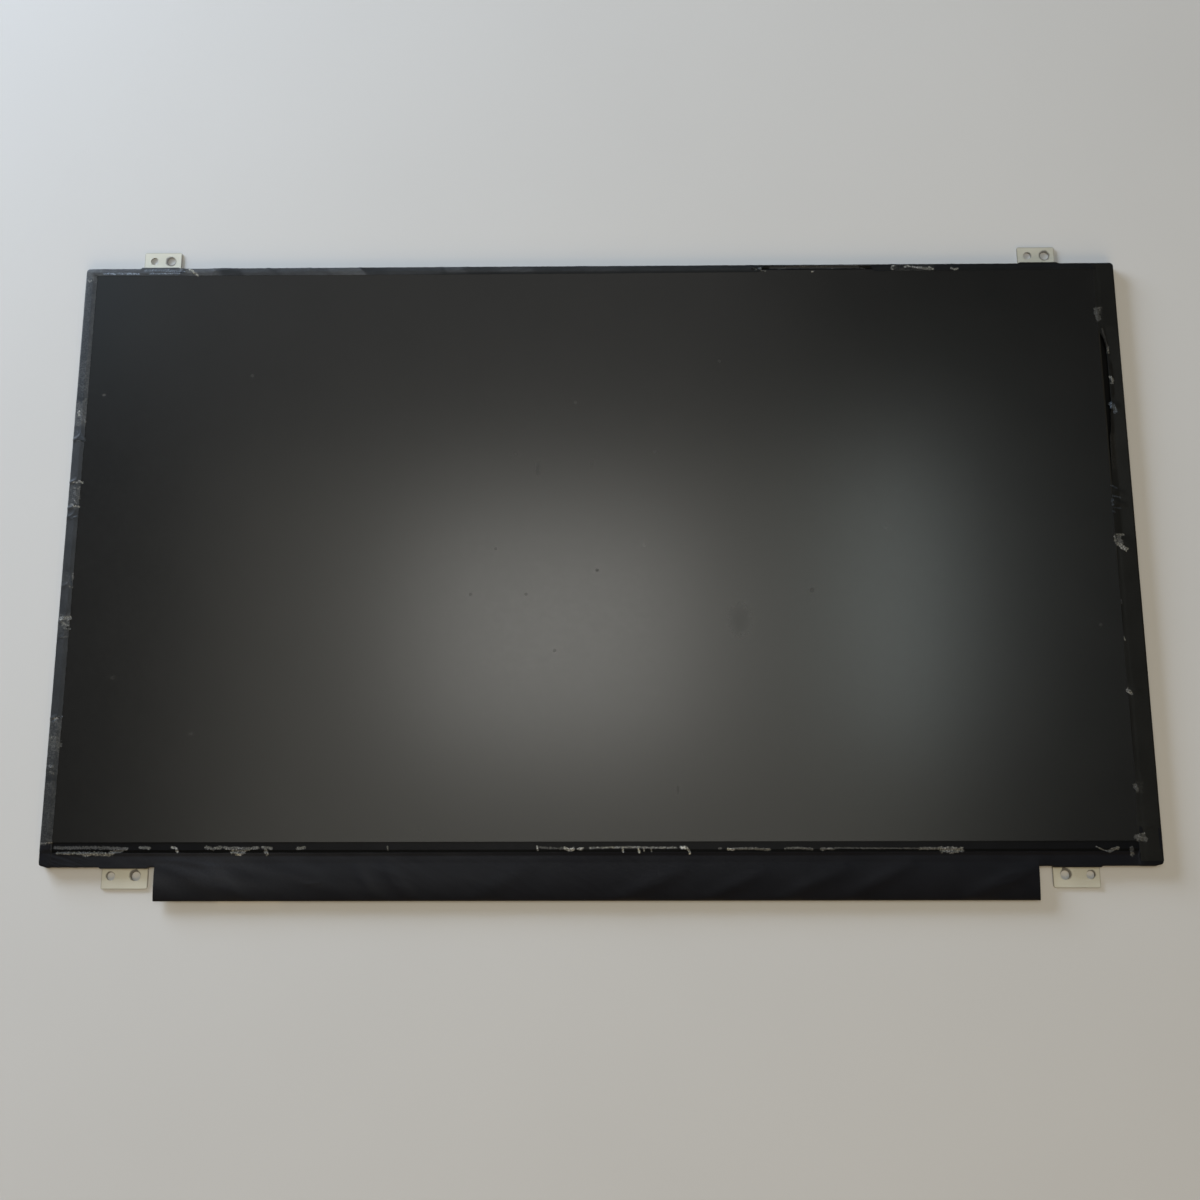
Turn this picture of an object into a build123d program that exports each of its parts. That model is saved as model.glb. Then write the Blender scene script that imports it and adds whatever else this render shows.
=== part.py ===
from build123d import *
import os

# Bare 15.6 inch slim laptop screen panel, lying on its back with the screen up.
# Origin: centre of the body's outline on its back plane. +X right, +Y to the top tabs,
# +Z out of the screen. All sizes in millimetres.

# Overall sizes
panel_width = 359.5  # over the edge tapes
panel_height = 205.4  # over the edge tapes, without tabs and board
corner_radius = 1.2

# Thicknesses of the stack, from the back to the front
tape_thickness = 0.08
cover_thickness = 0.30
reflector_thickness = 0.18
light_guide_thickness = 0.52
lower_diffuser_thickness = 0.10
prism_thickness = 0.14
upper_diffuser_thickness = 0.08
rim_tape_thickness = 0.06
rear_polarizer_thickness = 0.20
glass_thickness = 0.40
front_polarizer_thickness = 0.22

# Pressed rear cover
cover_wall_height = 0.80  # folded side walls, above the rim
rear_tape_width = 5.0  # edge tape on the back
rim_margin = 0.7  # rim beyond that tape
tape_sink = 0.02  # rear tape lies this far above the back plane
cover_corner_relief = 2.0
cover_bend_radius = 0.25
bead_width = 6.0
bead_depth = 0.08
bead_end_inset = 30.0
bead_spacing = 90.0
cover_window_width = 7.0
cover_window_height = 0.45
side_window_pitch = 62.0
side_window_count = 3
top_window_pitch = 68.0
top_window_count = 5
catch_reach = 0.24
catch_clearance = 0.10

# Moulded frame
frame_wall = 1.2  # beside the glass, left and top
frame_right_wall = 4.5
frame_bottom_wall = 0.7
frame_lower_wall = 1.5  # beside the light guide
frame_front_drop = 0.40  # walls end this far below the screen
frame_edge_radius = 0.2
ledge_side = 4.6
ledge_top = 3.4
ledge_bottom = 6.2  # hides the LEDs
cover_fit = 0.02

# Backlight
light_guide_clearance = 0.4
light_entry = 3.0  # light guide's lower edge above the body's lower edge
reflector_inset = 0.2
guide_key_width = 5.0  # frame's keys that hold the light guide
guide_key_reach = 1.2
guide_key_spacing = 120.0
film_clearance = 0.3
film_ear_width = 9.0
film_ear_height = 1.5
film_ear_spacing = 210.0
strip_thickness = 0.12
strip_width = 2.05
strip_end_inset = 12.0
strip_clearance = 0.1
led_count = 36
led_length = 3.0
led_depth = 0.85
led_height = 0.56
led_gap = 0.05
led_window_length = 2.4
led_window_height = 0.36
led_window_depth = 0.25

# Liquid crystal cell
glass_clearance = 0.35
cell_right_gap = 2.1  # open slot between the cell and the right wall
driver_ledge = 3.82  # array glass beyond the filter glass
rim_tape_inset = 0.8
rear_polarizer_margin = 1.3
polarizer_left_margin = 1.3
polarizer_right_margin = 0.5
polarizer_top_margin = 0.5
polarizer_bottom_margin = 2.5

# Driver board and its flap below the body
flap_left_inset = 37.45
flap_right_inset = 39.55
flap_drop = 11.1
flap_rear_wrap = 1.2
board_side_margin = 0.3
board_height = 8.4
board_thickness = 0.6
board_corner_radius = 0.6
board_back_clearance = 0.15
board_hole_diameter = 1.2
board_hole_inset = 3.0
driver_count = 4
driver_film_width = 36.0
driver_film_thickness = 0.06
film_on_glass = 2.6
film_on_board = 2.0
driver_chip_length = 17.0
driver_chip_width = 1.5
driver_chip_height = 0.35

# Video socket at the board's lower edge
socket_from_left = 30.0
socket_width = 20.0
socket_depth = 3.6
socket_height = 1.15
socket_edge_inset = 0.3
socket_shell_thickness = 0.12
socket_slot_depth = 2.4
socket_slot_height = 0.58
socket_roof = 0.25
contact_count = 30
contact_pitch = 0.5
contact_width = 0.2
contact_thickness = 0.12
contact_foot = 0.8
contact_fit = 0.02

# Parts on the back of the board, placed from its left end and its lower edge
memory_from_left = 82.0
memory_length = 4.9
memory_width = 3.9
memory_height = 0.9
timing_from_left = 96.0
timing_side = 6.0
timing_height = 0.75
power_from_left = 150.0
power_side = 5.0
power_height = 0.75
led_driver_from_left = 212.0
led_driver_side = 4.0
led_driver_height = 0.75
inductor_from_left = 221.0
inductor_side = 4.4
inductor_height = 1.0
inductor_radius = 1.0
chip_row = 4.3
chip_chamfer = 0.12
led_connector_from_left = 250.0
led_connector_width = 9.0
led_connector_depth = 3.2
led_connector_height = 0.9
led_connector_inset = 0.5
tail_width = 6.6
tail_slot_depth = 1.8
tail_slot_fit = 0.03
tail_notch_clearance = 0.1
capacitor_length = 1.6
capacitor_width = 0.8
capacitor_height = 0.8
resistor_length = 1.0
resistor_width = 0.5
resistor_height = 0.35
upper_row = 6.6
lower_row = 2.7
# start from the left end, count, pitch and row of each run of small parts
capacitor_runs = [
    (46.0, 5, 2.6, upper_row),
    (86.5, 3, 2.4, upper_row),
    (104.0, 4, 2.4, lower_row),
    (138.0, 4, 2.4, lower_row),
    (156.0, 6, 2.6, upper_row),
    (200.0, 3, 2.6, lower_row),
    (227.0, 4, 2.6, upper_row),
]
resistor_runs = [
    (46.0, 8, 1.6, lower_row),
    (66.0, 6, 1.6, upper_row),
    (104.0, 7, 1.6, upper_row),
    (124.0, 5, 1.8, lower_row),
    (156.0, 6, 1.6, lower_row),
    (178.0, 8, 1.8, upper_row),
    (227.0, 6, 1.6, lower_row),
]

# Black edge tapes on the front, measured from the body's edges
left_tape_width = 4.15
right_tape_width = 7.45
top_tape_width = 3.05
bottom_tape_width = 4.1
corner_ear_height = 7.4
tab_slit = 0.3
socket_tape_notch = 0.6

# Screw tabs: stamped brackets clipped on the frame's outer walls, level with the cover's rim
bracket_thickness = 0.42
bend_radius = 0.2
top_tab_reach = 6.9
top_tab_from_side = 26.0
top_tab_width = 13.0
top_tab_radius = 0.6
top_hole_offset = 3.0
top_hole_from_body = 3.7
bottom_tab_reach = 7.3
bottom_tab_from_side = 27.4
bottom_tab_width = 15.0
bottom_tab_outer_radius = 0.45
bottom_tab_inner_radius = 1.0
bottom_small_offset = 4.45
bottom_large_offset = 3.65
bottom_hole_from_body = 3.3
small_hole_diameter = 2.6
large_hole_diameter = 2.9
clip_window_width = 3.0
clip_window_height = 0.36
clip_window_offset = 3.6
clip_window_drop = 0.2  # window's upper edge below the leg's end

# Levels worked out from the stack
rim_back = tape_thickness + tape_sink
rim_front = rim_back + cover_thickness
reflector_front = rim_front + reflector_thickness
guide_front = reflector_front + light_guide_thickness
lower_diffuser_front = guide_front + lower_diffuser_thickness
lower_prism_front = lower_diffuser_front + prism_thickness
upper_prism_front = lower_prism_front + prism_thickness
ledge_front = upper_prism_front + upper_diffuser_thickness
rim_tape_front = ledge_front + rim_tape_thickness
rear_polarizer_front = rim_tape_front + rear_polarizer_thickness
array_front = rear_polarizer_front + glass_thickness
filter_front = array_front + glass_thickness
screen_front = filter_front + front_polarizer_thickness
frame_front = screen_front - frame_front_drop
lower_wall_front = array_front + driver_film_thickness
cover_wall_front = rim_front + cover_wall_height
board_back = board_back_clearance + socket_height
board_front = board_back + board_thickness
flap_film_front = board_front + driver_film_thickness
tab_back = rim_back
tab_front = tab_back + bracket_thickness
side_split = (tab_back + tab_front) / 2  # front and rear tape widths change here
above_all = 2 * screen_front

# Places worked out from the outline
half_width = panel_width / 2 - tape_thickness
half_height = panel_height / 2 - tape_thickness
frame_radius = corner_radius - tape_thickness
wall_recess = cover_thickness + cover_fit
pocket_left = -half_width + frame_wall
pocket_right = half_width - frame_right_wall
pocket_top = half_height - frame_wall
pocket_bottom = -half_height + frame_bottom_wall
opening_left = pocket_left + ledge_side
opening_right = pocket_right - ledge_side
opening_top = pocket_top - ledge_top
opening_bottom = pocket_bottom + ledge_bottom
guide_pocket_side = half_width - wall_recess - frame_lower_wall
guide_pocket_top = half_height - wall_recess - frame_lower_wall
guide_bottom = -half_height + light_entry
glass_left = pocket_left + glass_clearance
glass_right = pocket_right - cell_right_gap
glass_top = pocket_top - glass_clearance
array_bottom = pocket_bottom + glass_clearance
filter_bottom = array_bottom + driver_ledge
polarizer_left = glass_left + polarizer_left_margin
polarizer_right = glass_right - polarizer_right_margin
polarizer_top = glass_top - polarizer_top_margin
polarizer_bottom = filter_bottom + polarizer_bottom_margin
flap_left = -panel_width / 2 + flap_left_inset
flap_right = panel_width / 2 - flap_right_inset
flap_bottom = -panel_height / 2 - flap_drop
board_left = flap_left + board_side_margin
board_right = flap_right - board_side_margin
board_bottom = flap_bottom + tape_thickness
board_top = board_bottom + board_height
tape_left_edge = -panel_width / 2 + left_tape_width
tape_right_edge = panel_width / 2 - right_tape_width
tape_top_edge = panel_height / 2 - top_tape_width
tape_bottom_edge = -panel_height / 2 + bottom_tape_width
ear_edge = -panel_height / 2 + corner_ear_height
rear_tape_side = panel_width / 2 - rear_tape_width
rear_tape_end = panel_height / 2 - rear_tape_width
leg_outer = half_height + bracket_thickness
top_tab_x = panel_width / 2 - top_tab_from_side
bottom_tab_x = panel_width / 2 - bottom_tab_from_side
led_connector_x = board_left + led_connector_from_left
socket_x = board_left + socket_from_left
socket_mouth = board_bottom + socket_edge_inset
socket_rear = socket_mouth + socket_depth
far = panel_width + panel_height


def rect(left, right, bottom, top, radius=0.0):
    """Rectangle between four edges on the XY plane."""
    width = right - left
    height = top - bottom
    shape = RectangleRounded(width, height, radius) if radius > 0 else Rectangle(width, height)
    return Pos((left + right) / 2, (bottom + top) / 2) * shape


def prism(shape, back, front):
    """Flat shape given depth along Z."""
    return extrude(Pos(0, 0, back) * shape, amount=front - back)


def profile_along_x(points, left, right):
    """Outline of (y, z) points drawn along X."""
    face = Plane.YZ * make_face(Polyline(*points, close=True))
    return Pos(left, 0, 0) * extrude(face, amount=right - left)


def profile_along_y(points, bottom, top):
    """Outline of (x, z) points drawn along Y."""
    face = Plane.XZ * make_face(Polyline(*points, close=True))
    return Pos(0, top, 0) * extrude(face, amount=top - bottom)


def bent_sheet(points, thickness, left, right):
    """Sheet along X whose back follows (y, z) points."""
    front_side = [(y, z + thickness) for y, z in reversed(points)]
    return profile_along_x(points + front_side, left, right)


def row_places(count, pitch):
    """Places of a centred row."""
    return [(index - (count - 1) / 2) * pitch for index in range(count)]


# Rear cover and moulded frame


def catch_face_points(wall, outwards, back, front):
    """Section of a moulded catch: a lead-in slope at the back, a flat stop at the front."""
    tip = wall + outwards * catch_reach
    slope = (front - back) / 2
    return [(wall, back), (tip, back + slope), (tip, front), (wall, front)]


def cover_catches():
    """Catches on the frame's lower walls, one for each window of the cover."""
    middle = rim_front + cover_wall_height / 2
    reach = cover_window_height / 2 - catch_clearance
    half = cover_window_width / 2 - catch_clearance
    side_wall = half_width - wall_recess
    top_wall = half_height - wall_recess
    solids = []
    for y in row_places(side_window_count, side_window_pitch):
        for side in (-1, 1):
            points = catch_face_points(side * side_wall, side, middle - reach, middle + reach)
            solids.append(profile_along_y(points, y - half, y + half))
    for x in row_places(top_window_count, top_window_pitch):
        points = catch_face_points(top_wall, 1, middle - reach, middle + reach)
        solids.append(profile_along_x(points, x - half, x + half))
    return solids


def cover_windows():
    """Openings through the cover's folded walls."""
    middle = rim_front + cover_wall_height / 2
    back = middle - cover_window_height / 2
    front = middle + cover_window_height / 2
    half = cover_window_width / 2
    solids = []
    for y in row_places(side_window_count, side_window_pitch):
        for side in (-1, 1):
            wall = side * half_width
            edges = sorted((wall - side * wall_recess, wall + side * wall_recess))
            solids.append(prism(rect(*edges, y - half, y + half), back, front))
    for x in row_places(top_window_count, top_window_pitch):
        strip = rect(x - half, x + half, half_height - wall_recess, half_height + wall_recess)
        solids.append(prism(strip, back, front))
    return solids


def body_outline(grow):
    return rect(
        -half_width - grow, half_width + grow, -half_height - grow, half_height + grow, frame_radius + grow
    )


def make_rear_cover():
    """Tray folded up on three sides, with a flat field that stands proud at the back."""
    tray = prism(body_outline(0), rim_back, cover_wall_front)
    tray = fillet(tray.faces().sort_by(Axis.Z)[0].edges(), cover_bend_radius)
    inside = half_width - cover_thickness
    inside_top = half_height - cover_thickness
    hollow = rect(-inside, inside, -far, inside_top, frame_radius - cover_thickness)
    relief = Rectangle(2 * cover_corner_relief, 2 * cover_corner_relief)
    for side in (-1, 1):
        hollow += Pos(side * half_width, half_height) * relief
        hollow += Pos(side * half_width, -half_height) * relief
    rim_width = rear_tape_width - tape_thickness + rim_margin
    field_side = half_width - rim_width
    field_end = half_height - rim_width
    field = rect(-field_side, field_side, -field_end, field_end, rim_margin)
    cover = tray - prism(hollow, rim_front, above_all)
    cover += prism(field, 0, rim_back)
    cover -= prism(field, cover_thickness, rim_front)
    bead = SlotOverall(2 * field_side - 2 * bead_end_inset, bead_width)
    for y in row_places(2, bead_spacing):
        cover += prism(Pos(0, y) * bead, cover_thickness, cover_thickness + bead_depth)
        cover -= prism(Pos(0, y) * bead, 0, bead_depth)
    for window in cover_windows():
        cover -= window
    return cover


def film_outline(clearance):
    """Outline of the optical films with their locating ears."""
    top = opening_top - clearance
    outline = rect(opening_left + clearance, opening_right - clearance, opening_bottom + clearance, top)
    ear_half = film_ear_width / 2 + film_clearance - clearance
    ear_top = opening_top + film_ear_height + film_clearance - clearance
    for x in row_places(2, film_ear_spacing):
        outline += rect(x - ear_half, x + ear_half, 0, ear_top)
    return outline


def clip_catches(bracket):
    """Catches on the frame's outer walls for one bracket's windows."""
    centre = bracket["centre"]
    side = bracket["side"]
    front = bracket["leg_end"] - clip_window_drop - catch_clearance / 2
    back = front - clip_window_height + catch_clearance
    half = clip_window_width / 2 - catch_clearance
    points = catch_face_points(side * half_height, side, back, front)
    places = [centre - clip_window_offset, centre + clip_window_offset]
    return [profile_along_x(points, x - half, x + half) for x in places]


def make_mid_frame():
    lower_side = half_width - wall_recess
    lower = body_outline(0) & rect(-lower_side, lower_side, -half_height, half_height - wall_recess)
    step = cover_wall_front + cover_fit
    upper = prism(body_outline(0), step, frame_front)
    upper = fillet(upper.faces().sort_by(Axis.Z)[-1].edges(), frame_edge_radius)
    frame = prism(lower, rim_front, step) + upper
    pocket = rect(pocket_left, pocket_right, pocket_bottom, pocket_top)
    frame -= prism(pocket, ledge_front, above_all)
    frame -= prism(film_outline(0), guide_front, ledge_front)
    guide_pocket = rect(-guide_pocket_side, guide_pocket_side, pocket_bottom, guide_pocket_top)
    frame -= prism(guide_pocket - guide_keys(0), rim_front, guide_front)
    frame -= prism(rect(-far, far, -far, filter_bottom), lower_wall_front, above_all)
    film_passage = rect(flap_left - tab_slit, flap_right + tab_slit, -far, pocket_bottom)
    frame -= prism(film_passage, ledge_front, above_all)
    notch_half = tail_width / 2 + tail_notch_clearance
    notch = rect(led_connector_x - notch_half, led_connector_x + notch_half, -far, pocket_bottom)
    frame -= prism(notch, rim_front, rim_front + strip_thickness + tail_notch_clearance)
    for catch in cover_catches():
        frame += catch
    for bracket in brackets.values():
        for catch in clip_catches(bracket):
            frame += catch
    return frame


# Backlight


def guide_keys(clearance):
    """Outlines of the frame's keys at both sides of the light guide."""
    half = guide_key_width / 2 + clearance
    tip = guide_pocket_side - guide_key_reach - clearance
    keys = Sketch()
    for y in row_places(2, guide_key_spacing):
        keys += rect(tip, half_width, y - half, y + half)
        keys += rect(-half_width, -tip, y - half, y + half)
    return keys


def guide_outline(inset):
    gap = light_guide_clearance + inset
    side = guide_pocket_side - gap
    return rect(-side, side, guide_bottom + inset, guide_pocket_top - gap) - guide_keys(gap)


def make_led_strip():
    side = guide_pocket_side - strip_end_inset
    front_edge = guide_bottom - strip_clearance
    back_edge = front_edge - strip_width
    strip_front = rim_front + strip_thickness
    strip = prism(rect(-side, side, back_edge, front_edge), rim_front, strip_front)
    slot_back = board_back - led_connector_height / 2 - strip_thickness / 2
    connector_edge = board_top - led_connector_inset
    tail_points = [
        (front_edge, rim_front),
        (-half_height - strip_clearance, rim_front),
        (connector_edge + strip_clearance, slot_back),
        (connector_edge - tail_slot_depth + strip_clearance, slot_back),
    ]
    half = tail_width / 2
    strip += bent_sheet(tail_points, strip_thickness, led_connector_x - half, led_connector_x + half)
    return strip


def make_leds():
    side = guide_pocket_side - strip_end_inset
    pitch = (2 * side - 2 * led_length) / (led_count - 1)
    front_edge = guide_bottom - led_gap - strip_clearance
    back = rim_front + strip_thickness
    outline = rect(-led_length / 2, led_length / 2, front_edge - led_depth, front_edge)
    window_back = back + (led_height - led_window_height) / 2
    window = rect(-led_window_length / 2, led_window_length / 2, front_edge - led_window_depth, front_edge)
    led = prism(outline, back, back + led_height)
    led -= prism(window, window_back, window_back + led_window_height)
    return Compound(children=[Pos(x, 0, 0) * led for x in row_places(led_count, pitch)])


# Liquid crystal cell


def make_rim_tape():
    inset = rim_tape_inset
    outer = rect(pocket_left + inset, glass_right, pocket_bottom + inset, pocket_top - inset)
    inner = rect(
        opening_left - inset,
        opening_right + inset,
        opening_bottom - inset,
        opening_top + film_ear_height + inset,
    )
    return prism(outer - inner, ledge_front, rim_tape_front)


def glass_outline(bottom):
    return rect(glass_left, glass_right, bottom, glass_top)


def make_rear_polarizer():
    margin = rear_polarizer_margin
    outline = rect(glass_left + margin, glass_right - margin, array_bottom + margin, glass_top - margin)
    return prism(outline, rim_tape_front, rear_polarizer_front)


def make_front_polarizer():
    outline = rect(polarizer_left, polarizer_right, polarizer_bottom, polarizer_top)
    return prism(outline, filter_front, screen_front)


# Driver board


def film_slope_points():
    """Back of a driver film: on the glass, down the slope, on the board."""
    on_board = board_top - driver_film_thickness
    return [
        (array_bottom + film_on_glass, array_front),
        (array_bottom, array_front),
        (on_board, board_front),
        (on_board - film_on_board, board_front),
    ]


def driver_places():
    pitch = (board_right - board_left) / driver_count
    middle = (board_left + board_right) / 2
    return [middle + x for x in row_places(driver_count, pitch)]


def make_driver_film(x):
    half = driver_film_width / 2
    return bent_sheet(film_slope_points(), driver_film_thickness, x - half, x + half)


def make_driver_chip(x):
    (top_y, top_z), (low_y, low_z) = film_slope_points()[1:3]
    fall = (low_z - top_z) / (low_y - top_y)
    middle = (-half_height + board_top) / 2
    upper_edge = middle + driver_chip_width / 2
    lower_edge = middle - driver_chip_width / 2
    points = [
        (y, top_z + fall * (y - top_y) - driver_chip_height) for y in (upper_edge, lower_edge)
    ]
    half = driver_chip_length / 2
    return bent_sheet(points, driver_chip_height, x - half, x + half)


def make_source_board():
    outline = rect(board_left, board_right, board_bottom, board_top, board_corner_radius)
    for x in (board_left + board_hole_inset, board_right - board_hole_inset):
        outline -= Pos(x, (board_bottom + board_top) / 2) * Circle(board_hole_diameter / 2)
    return prism(outline, board_back, board_front)


def on_board_back(outline, height):
    return prism(outline, board_back - height, board_back)


def make_chip(from_left, length, width, height):
    outline = Pos(board_left + from_left, board_bottom + chip_row) * Rectangle(length, width)
    chip = on_board_back(outline, height)
    return chamfer(chip.faces().sort_by(Axis.Z)[0].edges(), chip_chamfer)


def make_inductor():
    place = Pos(board_left + inductor_from_left, board_bottom + chip_row)
    core = RectangleRounded(inductor_side, inductor_side, inductor_radius)
    body = on_board_back(place * core, inductor_height)
    return chamfer(body.faces().sort_by(Axis.Z)[0].edges(), chip_chamfer)


def make_small_parts(runs, length, width, height):
    solids = []
    for start, count, pitch, row in runs:
        for index in range(count):
            place = Pos(board_left + start + index * pitch, board_bottom + row)
            solids.append(on_board_back(place * Rectangle(width, length), height))
    return Compound(children=solids)


def make_led_connector():
    half = led_connector_width / 2
    top = board_top - led_connector_inset
    outline = rect(led_connector_x - half, led_connector_x + half, top - led_connector_depth, top)
    slot_half = tail_width / 2 + tail_slot_fit
    slot_middle = board_back - led_connector_height / 2
    slot_reach = strip_thickness / 2 + tail_slot_fit
    slot = rect(led_connector_x - slot_half, led_connector_x + slot_half, top - tail_slot_depth, far)
    connector = on_board_back(outline, led_connector_height)
    return connector - prism(slot, slot_middle - slot_reach, slot_middle + slot_reach)


# Video socket


def socket_levels():
    """Back of the housing, and the back and front of its slot."""
    housing_back = board_back - socket_height + socket_shell_thickness
    slot_front = board_back - socket_roof
    return housing_back, slot_front - socket_slot_height, slot_front


def contact_places():
    return [socket_x + x for x in row_places(contact_count, contact_pitch)]


def make_socket_housing():
    housing_back, slot_back, slot_front = socket_levels()
    half = socket_width / 2 - socket_shell_thickness
    slot_half = contact_count * contact_pitch / 2
    outline = rect(socket_x - half, socket_x + half, socket_mouth, socket_rear)
    housing = prism(outline, housing_back, board_back)
    slot_end = socket_mouth + socket_slot_depth
    slot = rect(socket_x - slot_half, socket_x + slot_half, socket_mouth - far, slot_end)
    housing -= prism(slot, slot_back, slot_front)
    groove_half = contact_width / 2 + contact_fit
    groove_back = slot_front - contact_thickness - contact_fit
    grooves = Sketch()
    for x in contact_places():
        grooves += rect(x - groove_half, x + groove_half, slot_end, socket_rear)
    return housing - prism(grooves, groove_back, slot_front)


def make_socket_shell():
    housing_back = socket_levels()[0]
    half = socket_width / 2
    inner = half - socket_shell_thickness
    outer_back = housing_back - socket_shell_thickness
    points = [
        (socket_x - half, board_back),
        (socket_x - half, outer_back),
        (socket_x + half, outer_back),
        (socket_x + half, board_back),
        (socket_x + inner, board_back),
        (socket_x + inner, housing_back),
        (socket_x - inner, housing_back),
        (socket_x - inner, board_back),
    ]
    return profile_along_y(points, socket_mouth, socket_rear)


def make_socket_contacts():
    slot_front = socket_levels()[2]
    beam_back = slot_front - contact_thickness
    tip = socket_mouth + socket_edge_inset
    riser = socket_rear + contact_fit
    bend = riser + contact_thickness
    foot_back = board_back - contact_thickness
    points = [
        (tip, slot_front),
        (tip, beam_back),
        (bend, beam_back),
        (bend, foot_back),
        (riser + contact_foot, foot_back),
        (riser + contact_foot, board_back),
        (riser, board_back),
        (riser, slot_front),
    ]
    half = contact_width / 2
    return Compound(children=[profile_along_x(points, x - half, x + half) for x in contact_places()])


# Stamped brackets with the screw tabs


def tab_edges(bracket):
    half = bracket["width"] / 2
    return bracket["centre"] - half, bracket["centre"] + half


def make_bracket(bracket):
    side = bracket["side"]
    left, right = tab_edges(bracket)
    tip = side * (panel_height / 2 + bracket["reach"])
    wall = side * half_height
    outer = side * leg_outer
    points = [
        (wall, tab_back),
        (tip, tab_back),
        (tip, tab_front),
        (outer, tab_front),
        (outer, bracket["leg_end"]),
        (wall, bracket["leg_end"]),
    ]
    section = make_face(Polyline(*points, close=True))
    inner_corner = section.vertices().sort_by_distance((outer, tab_front))[0]
    section = fillet(inner_corner, bend_radius)
    outer_corner = section.vertices().sort_by_distance((wall, tab_back))[0]
    section = fillet(outer_corner, bend_radius + bracket_thickness / 2)
    solid = Pos(left, 0, 0) * extrude(Plane.YZ * section, amount=right - left)
    for x, radius in ((left, bracket["left_radius"]), (right, bracket["right_radius"])):
        corner = solid.edges().filter_by(Axis.Z).sort_by_distance((x, tip, tab_back))[0]
        solid = fillet(corner, radius)
    hole_y = side * (panel_height / 2 + bracket["hole_from_body"])
    for x, diameter in bracket["holes"]:
        solid -= prism(Pos(x, hole_y) * Circle(diameter / 2), 0, tab_front)
    window_front = bracket["leg_end"] - clip_window_drop
    window_back = window_front - clip_window_height
    for offset in (-clip_window_offset, clip_window_offset):
        x = bracket["centre"] + offset
        window = Pos(x, wall) * Rectangle(clip_window_width, 4 * bracket_thickness)
        solid -= prism(window, window_back, window_front)
    return solid


def top_bracket(centre):
    return {
        "centre": centre,
        "side": 1,
        "width": top_tab_width,
        "reach": top_tab_reach,
        "leg_end": frame_front,
        "left_radius": top_tab_radius,
        "right_radius": top_tab_radius,
        "hole_from_body": top_hole_from_body,
        "holes": [
            (centre - top_hole_offset, small_hole_diameter),
            (centre + top_hole_offset, large_hole_diameter),
        ],
    }


def bottom_bracket(hand):
    centre = hand * bottom_tab_x
    radii = [bottom_tab_inner_radius, bottom_tab_outer_radius][::hand]
    return {
        "centre": centre,
        "side": -1,
        "width": bottom_tab_width,
        "reach": bottom_tab_reach,
        "leg_end": lower_wall_front,
        "left_radius": radii[0],
        "right_radius": radii[1],
        "hole_from_body": bottom_hole_from_body,
        "holes": [
            (centre + hand * bottom_small_offset, small_hole_diameter),
            (centre - hand * bottom_large_offset, large_hole_diameter),
        ],
    }


brackets = {
    "bracket_top_left": top_bracket(-top_tab_x),
    "bracket_top_right": top_bracket(top_tab_x),
    "bracket_bottom_left": bottom_bracket(-1),
    "bracket_bottom_right": bottom_bracket(1),
}


# Black tapes


def side_section(grow, level, left, right):
    """Outline across the body, (x, z): from the cell's level down to the side walls."""
    return [
        (-half_width - grow, rim_back - grow),
        (-half_width - grow, frame_front + grow),
        (left, level + grow),
        (right, level + grow),
        (pocket_right, frame_front + grow),
        (half_width + grow, frame_front + grow),
        (half_width + grow, rim_back - grow),
    ]


def upper_section(grow):
    """Outline along the body, (y, z): from the screen down to the upper wall."""
    return [
        (-half_height - grow, rim_back - grow),
        (-half_height - grow, screen_front + grow),
        (polarizer_top, screen_front + grow),
        (half_height + grow, frame_front + grow),
        (half_height + grow, rim_back - grow),
    ]


def lower_section(grow):
    """Outline along the body, (y, z): from the filter glass down to the driver ledge."""
    return [
        (-half_height - grow, rim_back - grow),
        (-half_height - grow, lower_wall_front + grow),
        (tape_bottom_edge, lower_wall_front + grow),
        (filter_bottom, filter_front + grow),
        (half_height + grow, filter_front + grow),
        (half_height + grow, rim_back - grow),
    ]


def wrapped_body(grow, across, along):
    """Body and bracket legs as a tape meets them, grown by the tape."""
    body = prism(body_outline(grow), rim_back - grow, above_all)
    body &= profile_along_y(across, -far, far)
    body &= profile_along_x(along, -far, far)
    for bracket in brackets.values():
        left, right = tab_edges(bracket)
        leg = sorted((0, bracket["side"] * (leg_outer + grow)))
        outline = rect(left - grow, right + grow, *leg)
        body += prism(outline, rim_back - grow, bracket["leg_end"] + grow)
    return body


def wrapped_shell(level, left, right, end_section):
    """Tape all round the body, with slits for the tabs."""
    bodies = [
        wrapped_body(grow, side_section(grow, level, left, right), end_section(grow))
        for grow in (tape_thickness, 0)
    ]
    shell = bodies[0] - bodies[1]
    for bracket in brackets.values():
        left, right = tab_edges(bracket)
        beyond = sorted((bracket["side"] * half_height, bracket["side"] * far))
        slit = rect(left - tab_slit, right + tab_slit, *beyond)
        shell -= prism(slit, -above_all, tab_front + tab_slit)
    return shell


def tape_region(front_shape, rear_shape):
    """Volume that a tape may fill: one outline on the front, one on the back."""
    return prism(front_shape, side_split, above_all) + prism(rear_shape, -above_all, side_split)


def make_left_tape(shell):
    front_shape = rect(-far, tape_left_edge, ear_edge, tape_top_edge)
    rear_shape = rect(-far, -rear_tape_side, ear_edge, rear_tape_end)
    return shell & tape_region(front_shape, rear_shape)


def make_right_tape(shell):
    front_shape = rect(tape_right_edge, far, ear_edge, tape_top_edge)
    rear_shape = rect(rear_tape_side, far, ear_edge, rear_tape_end)
    return shell & tape_region(front_shape, rear_shape)


def make_top_tape(shell):
    front_shape = rect(-far, far, tape_top_edge, far)
    rear_shape = rect(-far, far, rear_tape_end, far)
    return shell & tape_region(front_shape, rear_shape)


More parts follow.
